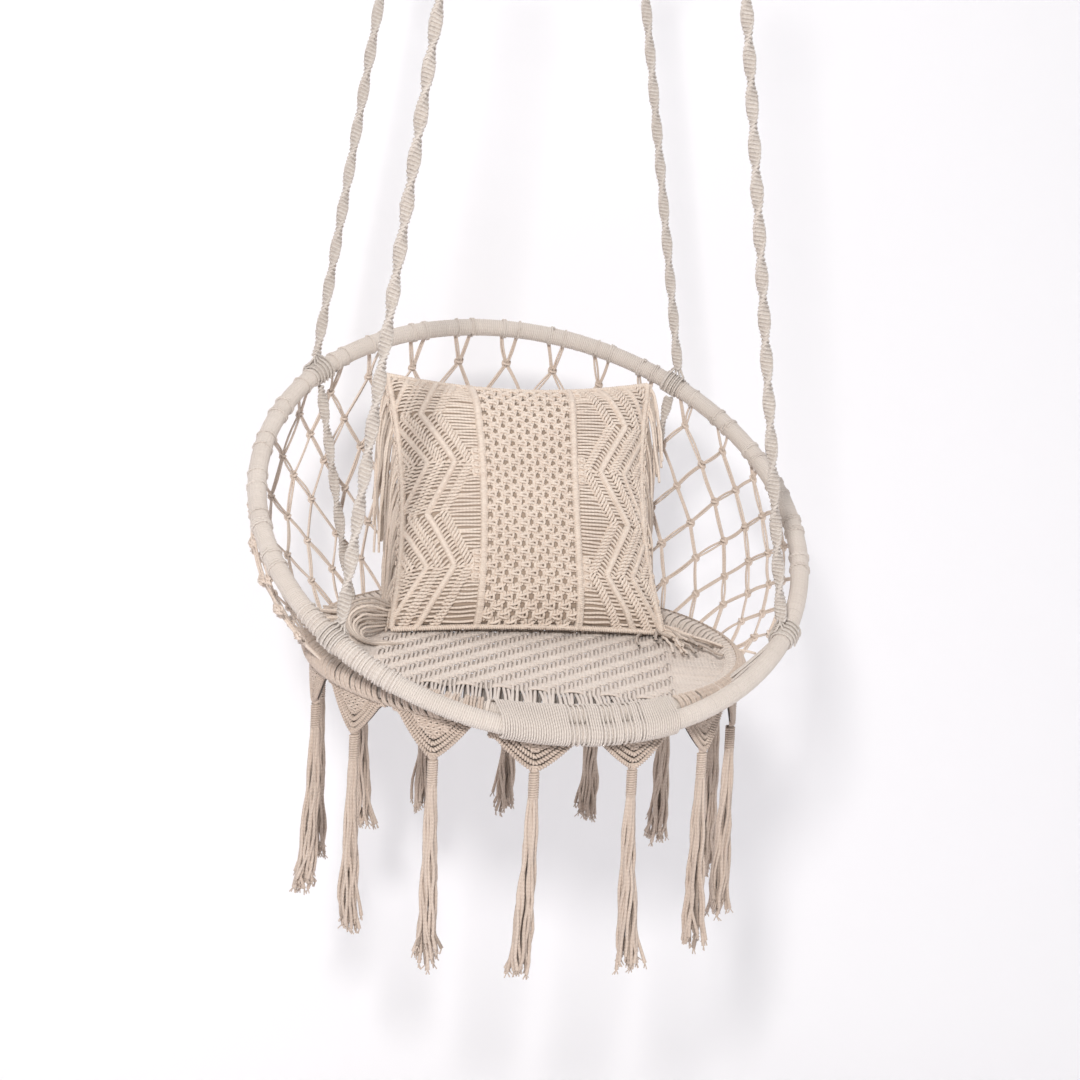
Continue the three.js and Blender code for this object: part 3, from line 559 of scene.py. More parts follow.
def stay_line(angle, seat_angle):
    """From under the back hoop to the top of the seat hoop."""
    high, low = hoop_point(BACK, angle), hoop_point(SEAT, seat_angle)
    down = unit(low - high)
    return high + down * 0.020, low - down * 0.0155


for stay_side, stay_angle in (("left", math.radians(135)), ("right", math.radians(45))):
    stay = Bundle()
    high, low = stay_line(stay_angle, stay_angle)
    sinnet(stay, [high, low], STAY_WIDE, STAY_THIN, STAY_CORD, start=rng.random() * 6)
    stay.build(f"stay_back_{stay_side}_sinnet", rope_cotton, "chair", [f"stay_back_{stay_side}"], "shaded_cord")

front_y = hoop_point(BACK, math.radians(-36))[1]
front_reach = math.asin((front_y - SEAT[0][1]) / (SEAT[1] * math.cos(SEAT[2])))
for stay_side, stay_angle, seat_angle in (("left", math.radians(216), math.pi - front_reach),
                                          ("right", math.radians(-36), front_reach)):
    stay = Bundle()
    high, low = stay_line(stay_angle, seat_angle)
    along = hoop_tangent(SEAT, seat_angle)
    across, around = perpendicular(low - high, along)
    for k in range(STAY_CORDS):
        q = k * TURN / STAY_CORDS
        spread = (0.0022 + 0.002 * rng.random()) * (math.cos(q) * across + math.sin(q) * around)
        begin, bend = high + spread * 1.4, (high + low) / 2 + spread * 0.9
        end = low + spread * 1.7 + along * 0.004 * math.cos(q)
        s = np.linspace(0, 1, 7)[:, None]
        stay.tubes((1 - s) ** 2 * begin + 2 * s * (1 - s) * bend + s ** 2 * end, LOOSE_CORD_RADIUS, 6)
    stay.build(f"stay_front_{stay_side}_cords", rope_cotton, "chair", [f"stay_front_{stay_side}"], "shaded_cord")


# Front lashing: one cord wound round both hoops, with its turns drawn apart towards the right
LASHING_FROM, LASHING_TO, LASHING_PITCH, LASHING_LIFT = -0.1195, 0.119, 0.00325, 0.0019
OPEN_FROM, OPEN_TO, OPEN_SHARE = -0.040, 0.072, 0.55
HALF_TURN_STEPS = 9


def lashing_path():
    x, places = LASHING_FROM, []
    while x < LASHING_TO:
        places.append(x)
        drawn_apart = OPEN_FROM < x < OPEN_TO and rng.random() < OPEN_SHARE
        x += 0.0048 + 0.0032 * rng.random() if drawn_apart else LASHING_PITCH
    turn_points = 2 * (HALF_TURN_STEPS + 1)
    points = []
    for start, end in zip(places, places[1:]):
        for k in range(turn_points):
            x = start + (end - start) * k / turn_points
            low = hoop_point(BACK, -math.pi / 2 + math.asin(x / BACK[1]))
            high = hoop_point(SEAT, -math.pi / 2 + math.asin(x / SEAT[1]))
            axis = unit((high - low) * [0, 1, 1])
            flank = np.array([0, axis[2], -axis[1]])
            if k <= HALF_TURN_STEPS:
                q, middle = k * math.pi / HALF_TURN_STEPS, high
            else:
                q, middle = (k - HALF_TURN_STEPS - 1) * math.pi / HALF_TURN_STEPS + math.pi, low
            reach = (WRAP_RADIUS + LASHING_LIFT) / math.cos(math.asin(x / SEAT[1]))
            points.append(arc(np.array([x, middle[1], middle[2]]), reach, flank, axis, q))
    return np.array(points)


lashing = Bundle()
lashing.tubes(lashing_path(), CORD / 2, 6)
lashing.build("front_lashing_turns", wrap_cotton, "chair", ["front_lashing"], "cream_cord")


# Knotted net: slanted cells, with the knots of every other row half a pitch aside
NET_COLUMNS, NET_ROWS, NET_PITCH, NET_FIRST_ROW = 20, 7, math.radians(11), 0.75
NET_LEG_SPREAD, NET_FOOT_SPREAD = math.radians(1.7), math.radians(3.8)
NET_FIRST = math.pi / 2 - (NET_COLUMNS - 1) / 2 * NET_PITCH
NET_HOOP_REACH, NET_BELLY, NET_CORD_RADIUS = 0.0150, 0.042, 0.0017


def net_point(angle, share):
    """A place on the net, at a share of the way from the back hoop down to the seat hoop."""
    high, low = hoop_point(BACK, angle), hoop_point(SEAT, angle)
    down = unit(low - high)
    out = np.array([math.cos(angle), math.sin(angle), 0.0])
    high = high + square_to(down + 0.75 * out, hoop_tangent(BACK, angle)) * NET_HOOP_REACH
    low = low + square_to(out - down / 1.1, hoop_tangent(SEAT, angle)) * NET_HOOP_REACH
    longest = 2 * SEAT[1] * math.sin(BACK[2] - SEAT[2])
    bulge = NET_BELLY * math.sin(math.pi * share) * np.linalg.norm(high - low) / longest
    return high + (low - high) * share + out * bulge


def net_frame(angle, share):
    """The same place, with the ways along the net, down it and out of it."""
    place = net_point(angle, share)
    along = unit(net_point(angle + 0.01, share) - net_point(angle - 0.01, share))
    down = unit(net_point(angle, min(share + 0.01, 1)) - net_point(angle, max(share - 0.01, 0)))
    return place, along, down, unit(np.cross(down, along))


def double_cord(bundle, a, b, across, points=7, apart=0.0012):
    """Two cords side by side, drawn together at both ends and slack between them."""
    s = np.linspace(0, 1, points)[:, None]
    bow = np.sin(math.pi * s)
    across = square_to(across, unit(b - a))
    twist = rng.normal(0, 0.5)
    lie = unit(across + twist * np.cross(unit(b - a), across))
    shared = bow * rng.normal(0, 0.0008, 3)
    for way in (-1, 1):
        path = a + (b - a) * s + way * lie * (0.0013 + apart * rng.random() * bow)
        bundle.tubes(path + shared + bow * rng.normal(0, 0.0005, 3), NET_CORD_RADIUS)


def net_knot(bundle, place, along, down, out):
    """A square knot where doubled cords meet: two slanted bars in front, a bar behind and a loop at each side."""
    size = 1 + rng.normal(0, 0.07)
    lean = rng.normal(0, 0.22)
    along, down = (along * math.cos(lean) + down * math.sin(lean),
                   down * math.cos(lean) - along * math.sin(lean))
    s = np.linspace(-1, 1, 7)[:, None]
    for way in (-1, 1):
        slant = down * (0.0019 * way + 0.0013 * way * s)
        bar = place + size * (along * 0.0050 * s + slant + out * 0.0036 * (1 - s ** 4))
        bundle.tubes(bar, 0.0019, 6)
        bulge = way * along * (0.0054 - 0.0012 * s ** 2)
        loop = place + size * (bulge + down * 0.0044 * s + out * 0.0020 * (1 - s ** 2))
        bundle.tubes(loop, 0.0018, 6)
        post = place + size * (way * along * 0.0017 + down * 0.0062 * s + out * 0.0006)
        bundle.tubes(post, NET_CORD_RADIUS)
    bundle.tubes(place + size * (along * 0.0050 * s - out * 0.0034 * (1 - s ** 4)), 0.0019, 6)
    # Loose fibres
    for _ in range(3):
        q = rng.random() * TURN
        way = math.cos(q) * along + math.sin(q) * down
        fuzz = place + way * 0.0062 * (s + 1) / 2 + out * (0.0050 * (1 - s) / 2 + 0.0015)
        bundle.tubes(fuzz, 0.00045, 3)


KNOT_REACH = 0.0045
net = Bundle()
knots = {}
for row in range(1, NET_ROWS):
    aside = (row + 1) % 2
    for column in range(NET_COLUMNS - aside):
        angle = NET_FIRST + (column + aside / 2) * NET_PITCH
        share = (row - 1 + NET_FIRST_ROW) / (NET_ROWS - 1 + NET_FIRST_ROW) + rng.normal(0, 0.006)
        place, along, down, out = net_frame(angle + rng.normal(0, 0.003), share)
        knots[2 * column + aside, row] = (angle, place, along, down, out)
        net_knot(net, place, along, down, out)
for (half_column, row), (angle, place, along, down, out) in knots.items():
    for way in (-1, 1):
        below = knots.get((half_column + way, row + 1))
        if below:
            aim = unit(below[1] - place)
            double_cord(net, place + aim * KNOT_REACH, below[1] - aim * KNOT_REACH, np.cross(aim, out))
        if row == NET_ROWS - 1:
            end = net_point(angle + way * NET_FOOT_SPREAD, 1.0)
            double_cord(net, place + down * 0.004 + way * along * 0.002, end, along, points=5)
        if row == 1:
            end = net_point(angle + way * NET_LEG_SPREAD, 0.0)
            double_cord(net, end, place - down * 0.004 + way * along * 0.002, along, apart=0.0008)
net.build("knotted_net_cords", net_cotton, "chair", ["knotted_net"], "shaded_cord")

# Raised turns where the net is tied to the hoop, but for the places of the rope ties
COLLAR_RADIUS, COLLAR_PITCH, TIE_ROOM = 0.01385, 0.0031, math.radians(2.7)
collars = Bundle()
for column in range(NET_COLUMNS):
    for way in (-1, 1):
        middle = NET_FIRST + column * NET_PITCH + way * NET_LEG_SPREAD
        if min(abs(math.remainder(middle - angle, TURN)) for _, angle in ROPES.values()) < TIE_ROOM:
            continue
        turns = 1 + int(rng.random() * 2.4)
        span = np.linspace(-0.5, 0.5, 3) * turns * COLLAR_PITCH / BACK[1] + rng.normal(0, 0.002)
        coil(collars, hoop_point(BACK, middle + span), COLLAR_RADIUS, COLLAR_PITCH, 0.0030, start=rng.random() * 6)
collars.build("net_collars", wrap_cotton, "chair", (), "cream_cord")


# Woven seat: cords both ways in a broad twill, so that floats of either kind make slanting bands
WARP_PITCH, WEFT_PITCH = 0.0060, 0.0038
WARP_GROUP, WEFT_GROUP, TWILL, WARP_FLOAT = 2, 4, 4, 2
WEAVE_TURN = math.radians(-17)
SEAT_REACH = 0.2855
WARP_HALF, WEFT_FRONT = 0.205, -0.196
# WARP_ENDS: low shades at both ends of each warp float, a little painted shade where it dives
WARP_RADIUS, WARP_FLAT, WARP_LIFTS, WARP_ENDS = 0.0024, 0.80, (0.0021, -0.0014), (0.05, 0.05)
WEFT_RADIUS, WEFT_FLAT, WEFT_LIFTS = 0.0018, 0.85, (0.0020, -0.0013)
# Radius of the darkened cords laid underneath, and the painted shade of a cord where it dives under others
SHADOW_RADIUS, DIVED_PAINTED_SHADE = 0.0026, -0.14
LASHED_HALF = 0.124
seat_centre = np.array(SEAT[0])
seat_back = np.array([0.0, math.cos(SEAT[2]), math.sin(SEAT[2])])
seat_right = np.array([1.0, 0.0, 0.0])


def on_seat(x, y, z=0.0):
    x, y, z = np.broadcast_arrays(np.asarray(x, float), y, z)
    return seat_centre + x[..., None] * seat_right + y[..., None] * seat_back + z[..., None] * SEAT_NORMAL


def on_weave(x, y, z=0.0):
    """A place on the weave: its cords run aslant to the chair's own front."""
    x, y = np.asarray(x, float), np.asarray(y, float)
    cos, sin = math.cos(WEAVE_TURN), math.sin(WEAVE_TURN)
    return on_seat(x * cos - y * sin, x * sin + y * cos, z)


def over_hoop(x, y, lift=0.0150):
    """Points that carry a seat cord's end up over the hoop and down its outer side."""
    ux, uy = x / math.hypot(x, y), y / math.hypot(x, y)
    end = on_weave(SEAT[1] * ux, SEAT[1] * uy)
    under_lashing = abs(end[0]) < LASHED_HALF and end[1] < 0
    q = np.linspace(2.7, -0.3, 6)[:2 if under_lashing else 6]
    r = SEAT[1] + lift * np.cos(q)
    return on_weave(r * ux, r * uy, lift * np.sin(q))


def warp_on_top(x, y):
    """The cords go over and under in groups, each a step aside of the one before."""
    return (round(x / WARP_PITCH) // WARP_GROUP - round(y / WEFT_PITCH) // WEFT_GROUP) % TWILL < WARP_FLOAT


def float_line(places, on_top, to_point, lifts, ends):
    """Points and shades of one cord that arches over the others in turn and dives under them; where it lies under
    them it takes painted shade.
    """
    points, shades = [], []
    state = [on_top(place) for place in places]
    own = 0.2 + 0.7 * rng.random()
    first = 0
    while first < len(places):
        last = first
        while last + 1 < len(places) and state[last + 1] == state[first]:
            last += 1
        steps = 8 if state[first] is None else 5
        for k in np.unique(np.linspace(first, last, steps).round().astype(int)):
            arch = math.sin(math.pi * (k - first + 0.5) / (last - first + 1))
            if state[first] is None:
                points.append(to_point(places[k], 0.0))
                shades.append(own)
            elif state[first]:
                points.append(to_point(places[k], lifts[0] * (0.65 + 0.65 * arch)))
                shades.append(ends[0] if k == first else ends[1] if k >= last - (last > first + 4) else own)
            else:
                points.append(to_point(places[k], lifts[1]))
                shades.append(DIVED_PAINTED_SHADE)
        first = last + 1
    return points, shades


def gathered(number, pitch, share=0.6, group=3):
    """Where a cord meets the hoop: drawn towards the middle of its group."""
    return pitch * (number + share * ((number // group) * group + (group - 1) / 2 - number))


# Warp: thick cords from front to back, open and a little fanned before the first weft cord
weave = Bundle()
count = int(WARP_HALF / WARP_PITCH)
for i in range(-count, count + 1):
    x = i * WARP_PITCH
    reach = math.sqrt(SEAT_REACH ** 2 - x * x)
    lean = 0.004 + 0.020 * x + gathered(i, WARP_PITCH, 0.42, 4) - x + rng.normal(0, 0.0010)
    shift = rng.normal(0, 0.0003)
    border = WEFT_FRONT + 0.005 * math.sin(i * 0.9)

    def over(y, x=x):
        return warp_on_top(x, y) if y > border else None

    def place_of(y, z, x=x):
        open_part = max(0.0, WEFT_FRONT - y) / (SEAT_REACH + WEFT_FRONT)
        return on_weave(x + shift + lean * open_part, y, z + 0.004 * math.sin(math.pi * min(open_part, 1.0)))

    places = np.arange(math.ceil(-reach / WEFT_PITCH), math.floor(reach / WEFT_PITCH) + 1) * WEFT_PITCH
    points, shades = float_line(places, over, place_of, WARP_LIFTS, WARP_ENDS)
    front = over_hoop(x + shift + lean, -reach, 0.0146)[::-1]
    back = over_hoop(gathered(i, WARP_PITCH), reach)
    shades = np.r_[np.full(len(front), 0.6), shades, np.full(len(back), 0.5)]
    weave.tubes(np.concatenate([front, points, back]), WARP_RADIUS, flat=WARP_FLAT, shade=shades[None])
    # A cord of the lower layer shows between two open ones, darkened with painted shade
    if abs(x) < 0.200:
        s = np.linspace(0, 1, 5)
        below = np.linspace(WEFT_FRONT + 0.030, -reach + 0.004, 5)
        under = on_weave(x + WARP_PITCH / 2 - lean * 0.5 * s, below, -0.0070 - 0.0035 * s)
        weave.tubes(under, SHADOW_RADIUS, shade=[-0.45])
# Weft: finer cords from side to side
count = int(SEAT_REACH / WEFT_PITCH)
for j in range(-count, count + 1):
    y = j * WEFT_PITCH
    if y < WEFT_FRONT or abs(y) > SEAT_REACH * 0.97:
        continue
    reach = math.sqrt(SEAT_REACH ** 2 - y * y)

    def over(x, y=y):
        return not warp_on_top(x, y) if abs(x) < WARP_HALF else None

    places = np.arange(math.ceil(-reach / WARP_PITCH), math.floor(reach / WARP_PITCH) + 1) * WARP_PITCH
    shift = rng.normal(0, 0.0002)
    end_y = gathered(j, WEFT_PITCH)
    slit_y = gathered(j, WEFT_PITCH, 0.16, 6)

    def place_of(x, z, y=y):
        free = min(max(0.0, abs(x) - WARP_HALF) / 0.03, 1.0)
        return on_weave(x, y + shift + free * (slit_y - y), z)

    # Painted shadow at the right end of every fourth weft float, where it dives, and a slightly darker shade at the
    # other ends
    float_ends = (0.3, -0.60 if j % WEFT_GROUP == 0 else 0.2)
    points, shades = float_line(places, over, place_of, WEFT_LIFTS, float_ends)
    # Painted shadow in the slits between the gathered groups at both sides: dark cords laid under the gaps
    if j % 6 == 0 and reach > WARP_HALF + 0.02:
        for way in (-1, 1):
            dark = on_weave(way * np.linspace(WARP_HALF - 0.006, reach - 0.004, 4), y - WEFT_PITCH / 2, -0.0030)
            weave.tubes(dark, SHADOW_RADIUS, shade=[-0.62])
    ends = [over_hoop(-reach, end_y, 0.0158)[::-1], over_hoop(reach, end_y, 0.0158)]
    left_shade, right_shade = (np.full(len(end), 0.4 + 0.4 * rng.random()) for end in ends)
    shades = np.r_[left_shade, shades, right_shade]
    weave.tubes(np.concatenate([ends[0], points, ends[1]]), WEFT_RADIUS, flat=WEFT_FLAT, shade=shades[None])
weave.build("seat_weave_cords", seat_cotton, "chair", ["seat_weave"], "cream_cord")

# Coarser doubled cords over the seat hoop, where the fringe and the net are hitched to it
HITCH_RADIUS, HITCH_CORD_RADIUS, HITCH_TWIN, HITCH_PITCH = 0.0176, 0.0019, 0.0036, 0.0105
hitches = Bundle()
lashed = math.asin(0.122 / SEAT[1])
place = -math.pi / 2 + lashed + 0.02
while place < 3 * math.pi / 2 - lashed - 0.02:
    for twin in (0.0, HITCH_TWIN / SEAT[1]):
        centre, tangent, out = hoop_frame(SEAT, place + twin)
        q = np.linspace(-1.5, 2.2, 10)
        slant = 0.004 + rng.normal(0, 0.0012)
        hitch = arc(centre, HITCH_RADIUS, out, -np.cross(out, tangent), q) + slant * (q[:, None] / 2) * tangent
        hitches.tubes(hitch, HITCH_CORD_RADIUS, 6, shade=[0.3 + 0.5 * rng.random()])
    place += (HITCH_PITCH + 0.0015 * rng.normal()) / SEAT[1]
hitches.build("seat_hoop_hitches", fringe_cotton, "chair", (), "cream_cord")


# Fringe leaves and tassels
LEAVES = 14
LEAF_SPREAD, LEAF_TIP = math.radians(11.6), 0.074
LEAF_TOP, LEAF_TOP_UNDER_LASHING = 0.0142, 0.0262
LEAF_KNOT_WIDE, LEAF_KNOT_HIGH, LEAF_ROW = 0.0083, 0.0066, 0.0064
LEAF_RIB_INSETS = (0.0034, 0.0118, 0.0202, 0.0286)
LEAF_SHOULDER, LEAF_POINT_REACH, LEAF_POINT_CURVE = 0.008, 0.84, 1.3


def leaf_knots(bundle, places, rights, outs, cord=0.0017):
    """Square knots in numbers: two bars across and a bulge at each side."""
    places, rights, outs = (np.asarray(v, float).reshape(-1, 1, 3) for v in (places, rights, outs))
    wide, high, up = LEAF_KNOT_WIDE, LEAF_KNOT_HIGH, np.array([0, 0, 1.0])
    s = np.linspace(-1, 1, 6)[None, :, None]
    bow = 1 - s * s
    for level, lean in ((0.26, 0.18), (-0.24, -0.18)):
        path = places + rights * s * wide * 0.52 + up * (level * high + lean * high * s)
        bundle.tubes(path + outs * cord * (1.0 + 1.7 * bow), cord)
    for way in (-1, 1):
        path = places + rights * way * wide * (0.42 + 0.12 * bow) + up * s * high * 0.55
        bundle.tubes(path + outs * cord * (0.4 + 1.4 * bow), cord)


def leaf_top(angle):
    lashed = math.asin(0.118 / 0.300)
    from_front = abs(math.remainder(angle + math.pi / 2, TURN))
    return LEAF_TOP_UNDER_LASHING if from_front < lashed + LEAF_SPREAD / 2 else LEAF_TOP


def leaf_edge(middle, across):
    """How far below the hoop the pointed lower edge is."""
    upper = leaf_top(middle)
    point = max(0.0, 1 - (abs(across) / LEAF_POINT_REACH) ** LEAF_POINT_CURVE)
    return upper + LEAF_SHOULDER + (LEAF_TIP - upper - LEAF_SHOULDER) * point


def leaf_point(middle, across, depth):
    """across from -1 to 1 along the hoop, depth in metres below it."""
    angle = middle + across * LEAF_SPREAD
    out = np.array([math.cos(angle), math.sin(angle), 0.0])
    return hoop_point(SEAT, angle) - [0, 0, depth], out


def make_leaf(number):
    middle = number * TURN / LEAVES
    upper = leaf_top(middle)
    bundle = Bundle()
    across, levels = np.linspace(-1, 1, 17), np.linspace(0.02, 0.97, 7)
    inner = []
    for u in across:
        column = [leaf_point(middle, u, upper + (leaf_edge(middle, u) - upper) * v) for v in levels]
        inner.append([place - out * 0.0016 for place, out in column])
    # The leaf's body behind the knots, darkened with painted shade
    bundle.surface(np.array(inner), -0.60, scale=0.004)
    places, rights, outs = [], [], []
    row, depth = 0, upper + 0.0045
    while depth < LEAF_TIP - 0.026:
        for k in range(-10, 11):
            u = (k + 0.5 * (row % 2)) * LEAF_KNOT_WIDE / (SEAT[1] * LEAF_SPREAD)
            if abs(u) > 0.96 or depth > leaf_edge(middle, u) - 0.0300:
                continue
            place, out = leaf_point(middle, u, depth)
            places.append(place + out * 0.0010 + rng.normal(0, 0.0003, 3))
            rights.append(np.array([-out[1], out[0], 0.0]))
            outs.append(out)
        depth += LEAF_ROW
        row += 1
    if places:
        leaf_knots(bundle, places, rights, outs)
    # Four bold ridges of half hitches along the lower edge, each round a carrier cord with painted shade
    for rib, inset in enumerate(LEAF_RIB_INSETS):
        for way in (-1, 1):
            path = []
            for u in np.linspace(0.0, 1.0, 12):
                depth = max(leaf_edge(middle, u) - inset, upper + 0.002)
                place, out = leaf_point(middle, way * u, depth)
                path.append(place + out * (0.0022 + 0.0005 * (3 - rib)))
            path = np.array(path)
            bundle.tubes(path, 0.0016, 6, shade=[-0.30])
            coil(bundle, path, 0.0019, 0.0040, 0.0032, 8, start=rng.random() * 6)
    # A knot that draws the tip together
    place, out = leaf_point(middle, 0, LEAF_TIP - 0.0030)
    q = np.linspace(-0.4, math.pi + 0.4, 9)[:, None]
    side_way = np.array([-out[1], out[0], 0.0])
    for level in (-0.0014, 0.0016, 0.0046):
        band = place + [0, 0, level] + (0.0052 + 0.5 * level) * np.cos(q) * side_way + 0.0042 * np.sin(q) * out
        bundle.tubes(band, 0.0018, 6)
    name = f"fringe_leaf_{number + 1:02d}"
    bundle.build(f"{name}_knots", fringe_cotton, "chair", [name], "cream_cord")


TASSEL_CORDS, TASSEL_STEPS, TASSEL_LENGTH, TASSEL_CORD_RADIUS = 20, 15, 0.226, 0.0023
TASSEL_NECK, TASSEL_NECK_RADIUS, TASSEL_FOOT_RADIUS = 0.034, 0.0058, 0.0125
GOLDEN_ANGLE = 2.39996


def make_tassel(number):
    angle = number * TURN / LEAVES
    tip = hoop_point(SEAT, angle) - [0, 0, LEAF_TIP + 0.0006]
    bundle = Bundle()
    neck = line(tip - [0, 0, 0.0004], tip - [0, 0, TASSEL_NECK], 3)
    coil(bundle, neck, TASSEL_NECK_RADIUS, 0.0032, 0.0032, start=rng.random() * 6)
    # The core inside the neck, with a little painted shade
    core = np.array([tip - [0, 0, depth] for depth in (-0.0012, 0.0004, 0.003, 0.012, 0.034, 0.044)])
    bundle.tubes(core, [[0.0004, 0.0050, 0.0056, 0.0056, 0.0060, 0.0030]], 9, shade=[-0.1])
    s = np.linspace(0, 1, TASSEL_STEPS)
    twist = rng.normal(0, 0.6)
    drift = rng.normal(0, 0.005, 2)
    for k in range(TASSEL_CORDS):
        ring = 0.28 + 0.72 * math.sqrt((k + 0.5) / TASSEL_CORDS)
        q = k * GOLDEN_ANGLE + rng.normal(0, 0.25)
        foot = TASSEL_FOOT_RADIUS * ring * (1 + 0.35 * rng.random())
        radius = 0.0046 * ring + (foot - 0.0046 * ring) * (0.55 * s ** 0.6 + 0.45 * s ** 2.2)
        turn_by = q + twist * s + 0.5 * np.sin(s * 4 + rng.random() * 6) * s
        length = TASSEL_LENGTH + rng.normal(0, 0.008)
        wave = 0.0020 * np.sin(s * (14 + 8 * rng.random()) + rng.random() * 6) * np.sqrt(s)
        sway = 0.0020 * np.sin(s * (10 + 8 * rng.random()) + rng.random() * 6) * np.sqrt(s)
        path = np.stack([tip[0] + radius * np.cos(turn_by) + wave + drift[0] * s ** 2,
                         tip[1] + radius * np.sin(turn_by) + sway + drift[1] * s ** 2,
                         tip[2] - 0.032 - length * s], -1)
        curl = rng.normal(0, 0.0045, 2)
        path[-1, :2] += curl
        path[-2, :2] += curl * 0.3
        thickness = np.full(TASSEL_STEPS, TASSEL_CORD_RADIUS)
        thickness[-1] = 0.0027
        # The cords inside the tassel take painted shade
        own = rng.random() if ring > 0.6 else -0.3
        bundle.tubes(path, thickness[None], 6, shade=[own])
        # A frayed end
        fray = np.linspace(0, 1, 3)[:, None]
        for _ in range(3):
            splay = rng.normal(0, 0.0028, 3) * [1, 1, 0] - [0, 0, 0.007]
            bundle.tubes(path[-1] + fray * splay, 0.0008, 4, shade=[0.7])
    name = f"tassel_{number + 1:02d}"
    bundle.build(f"{name}_cords", fringe_cotton, name, [name], "cream_cord")


for leaf_number in range(LEAVES):
    make_leaf(leaf_number)
    make_tassel(leaf_number)

# Pillow: a filled cushion with a knotted front and fringed sides. Places on it go from -1 to 1 both ways
PILLOW_WIDE, PILLOW_HIGH, PILLOW_PINCH, PILLOW_CROWN, PILLOW_SKIN = 0.205, 0.200, 0.022, 0.055, 0.00425
PILLOW_LEAN, PILLOW_TURN = math.radians(-25), math.radians(-6)
PILLOW_VOXEL, PILLOW_SWELL_LIMIT, PILLOW_PRESSURE, PILLOW_FILL = 0.0055, 0.007, 4, 0.75


def pillow_shape(u, v, depth):
    """The seam is drawn in along the sides and the top, and sits flat on the seat at the foot."""
    u, v, depth = np.broadcast_arrays(np.asarray(u, float), v, depth)
    drawn_in = PILLOW_PINCH * (0.62 + 0.30 * v)
    return np.stack([u * (PILLOW_WIDE - PILLOW_PINCH * (1 - v * v)), depth,
                     v * (PILLOW_HIGH - drawn_in * (1 - u * u)) + PILLOW_HIGH], -1)


def pillow_swell(u, v):
    return PILLOW_CROWN * np.sqrt(np.clip((1 - u * u) * (1 - v * v), 0, 1))


lean = Matrix.Rotation(PILLOW_TURN, 3, "Z") @ Matrix.Rotation(PILLOW_LEAN, 3, "X")
PILLOW_AXES = np.array(lean)
# The pillow's place: its back cover fills the box of the solid one
edge_steps = [-1, -0.93, -0.75, -0.5, -0.25, 0, 0.25, 0.5, 0.75, 0.93, 1]
edge_u, edge_v = np.meshgrid(edge_steps, [-1, -0.93, 0.93, 1])
cover = pillow_shape(edge_u, edge_v, pillow_swell(edge_u, edge_v) + PILLOW_SKIN).reshape(-1, 3) @ PILLOW_AXES.T
cover_low, cover_high = (np.array(v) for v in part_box("pillow_back_cover"))
PILLOW_PLACE = np.array([cover_low[0] - cover[:, 0].min(), 0, cover_low[2] - cover[:, 2].min()])
PILLOW_PLACE[1] = cover_high[1] - cover[:, 1].max()


def pillow_world(points):
    return np.asarray(points) @ PILLOW_AXES.T + PILLOW_PLACE


def pillow_body():
    steps = np.sin(np.linspace(-1, 1, 33) * math.pi / 2)
    u, v = np.meshgrid(steps, steps, indexing="ij")
    thick = pillow_swell(u, v) * 0.93
    bundle = Bundle()
    bundle.surface(pillow_shape(u, v, -thick), 0.5)
    bundle.surface(pillow_shape(u, v, thick)[:, ::-1], 0.5)
    return bundle


def swell_up(obj, cap, steps=20):
    """Blow the cushion up as cloth, with no point moving further than the cap."""
    scene = bpy.context.scene
    bpy.context.view_layer.objects.active = obj
    remesh = obj.modifiers.new("even mesh", "REMESH")
    remesh.mode, remesh.voxel_size = "VOXEL", PILLOW_VOXEL
    bpy.ops.object.modifier_apply(modifier=remesh.name)
    count = len(obj.data.vertices) * 3
    start, moved = np.zeros(count, np.float32), np.zeros(count, np.float32)
    obj.data.vertices.foreach_get("co", start)
    cloth = obj.modifiers.new("filling", "CLOTH")
    cloth.settings.quality = 4
    cloth.settings.use_pressure = True
    cloth.settings.uniform_pressure_force = PILLOW_PRESSURE
    cloth.settings.effector_weights.gravity = 0
    for number in range(1, steps + 1):
        scene.frame_set(number)
    shaped = obj.evaluated_get(bpy.context.evaluated_depsgraph_get())
    shaped.data.vertices.foreach_get("co", moved)
    obj.modifiers.remove(cloth)
    scene.frame_set(1)
    step = (moved - start).reshape(-1, 3)
    reach = np.linalg.norm(step, axis=1, keepdims=True)
    step *= np.minimum(1, cap / np.maximum(reach, 1e-9))
    obj.data.vertices.foreach_set("co", (start.reshape(-1, 3) + step).ravel())
    obj.data.update()
    smooth = obj.modifiers.new("fine mesh", "SUBSURF")
    smooth.levels = smooth.render_levels = 1
    bpy.ops.object.modifier_apply(modifier=smooth.name)
    for polygon in obj.data.polygons:
        polygon.use_smooth = True


body_bundle = pillow_body()
pillow_mesh = bpy.data.meshes.new("pillow_cushion")
pillow_mesh.from_pydata(np.concatenate(body_bundle.verts).tolist(), [], np.concatenate(body_bundle.faces).tolist())
cushion = add_object("pillow_cushion", pillow_mesh)
swell_up(cushion, PILLOW_SWELL_LIMIT)
cushion.data.materials.clear()
cushion.data.materials.append(lining_cotton)
cushion.data.materials.append(shaded_lining)
# The front, under the open knots, takes the lining with painted shade
for polygon in cushion.data.polygons:
    polygon.material_index = int(polygon.normal.y < -0.02)

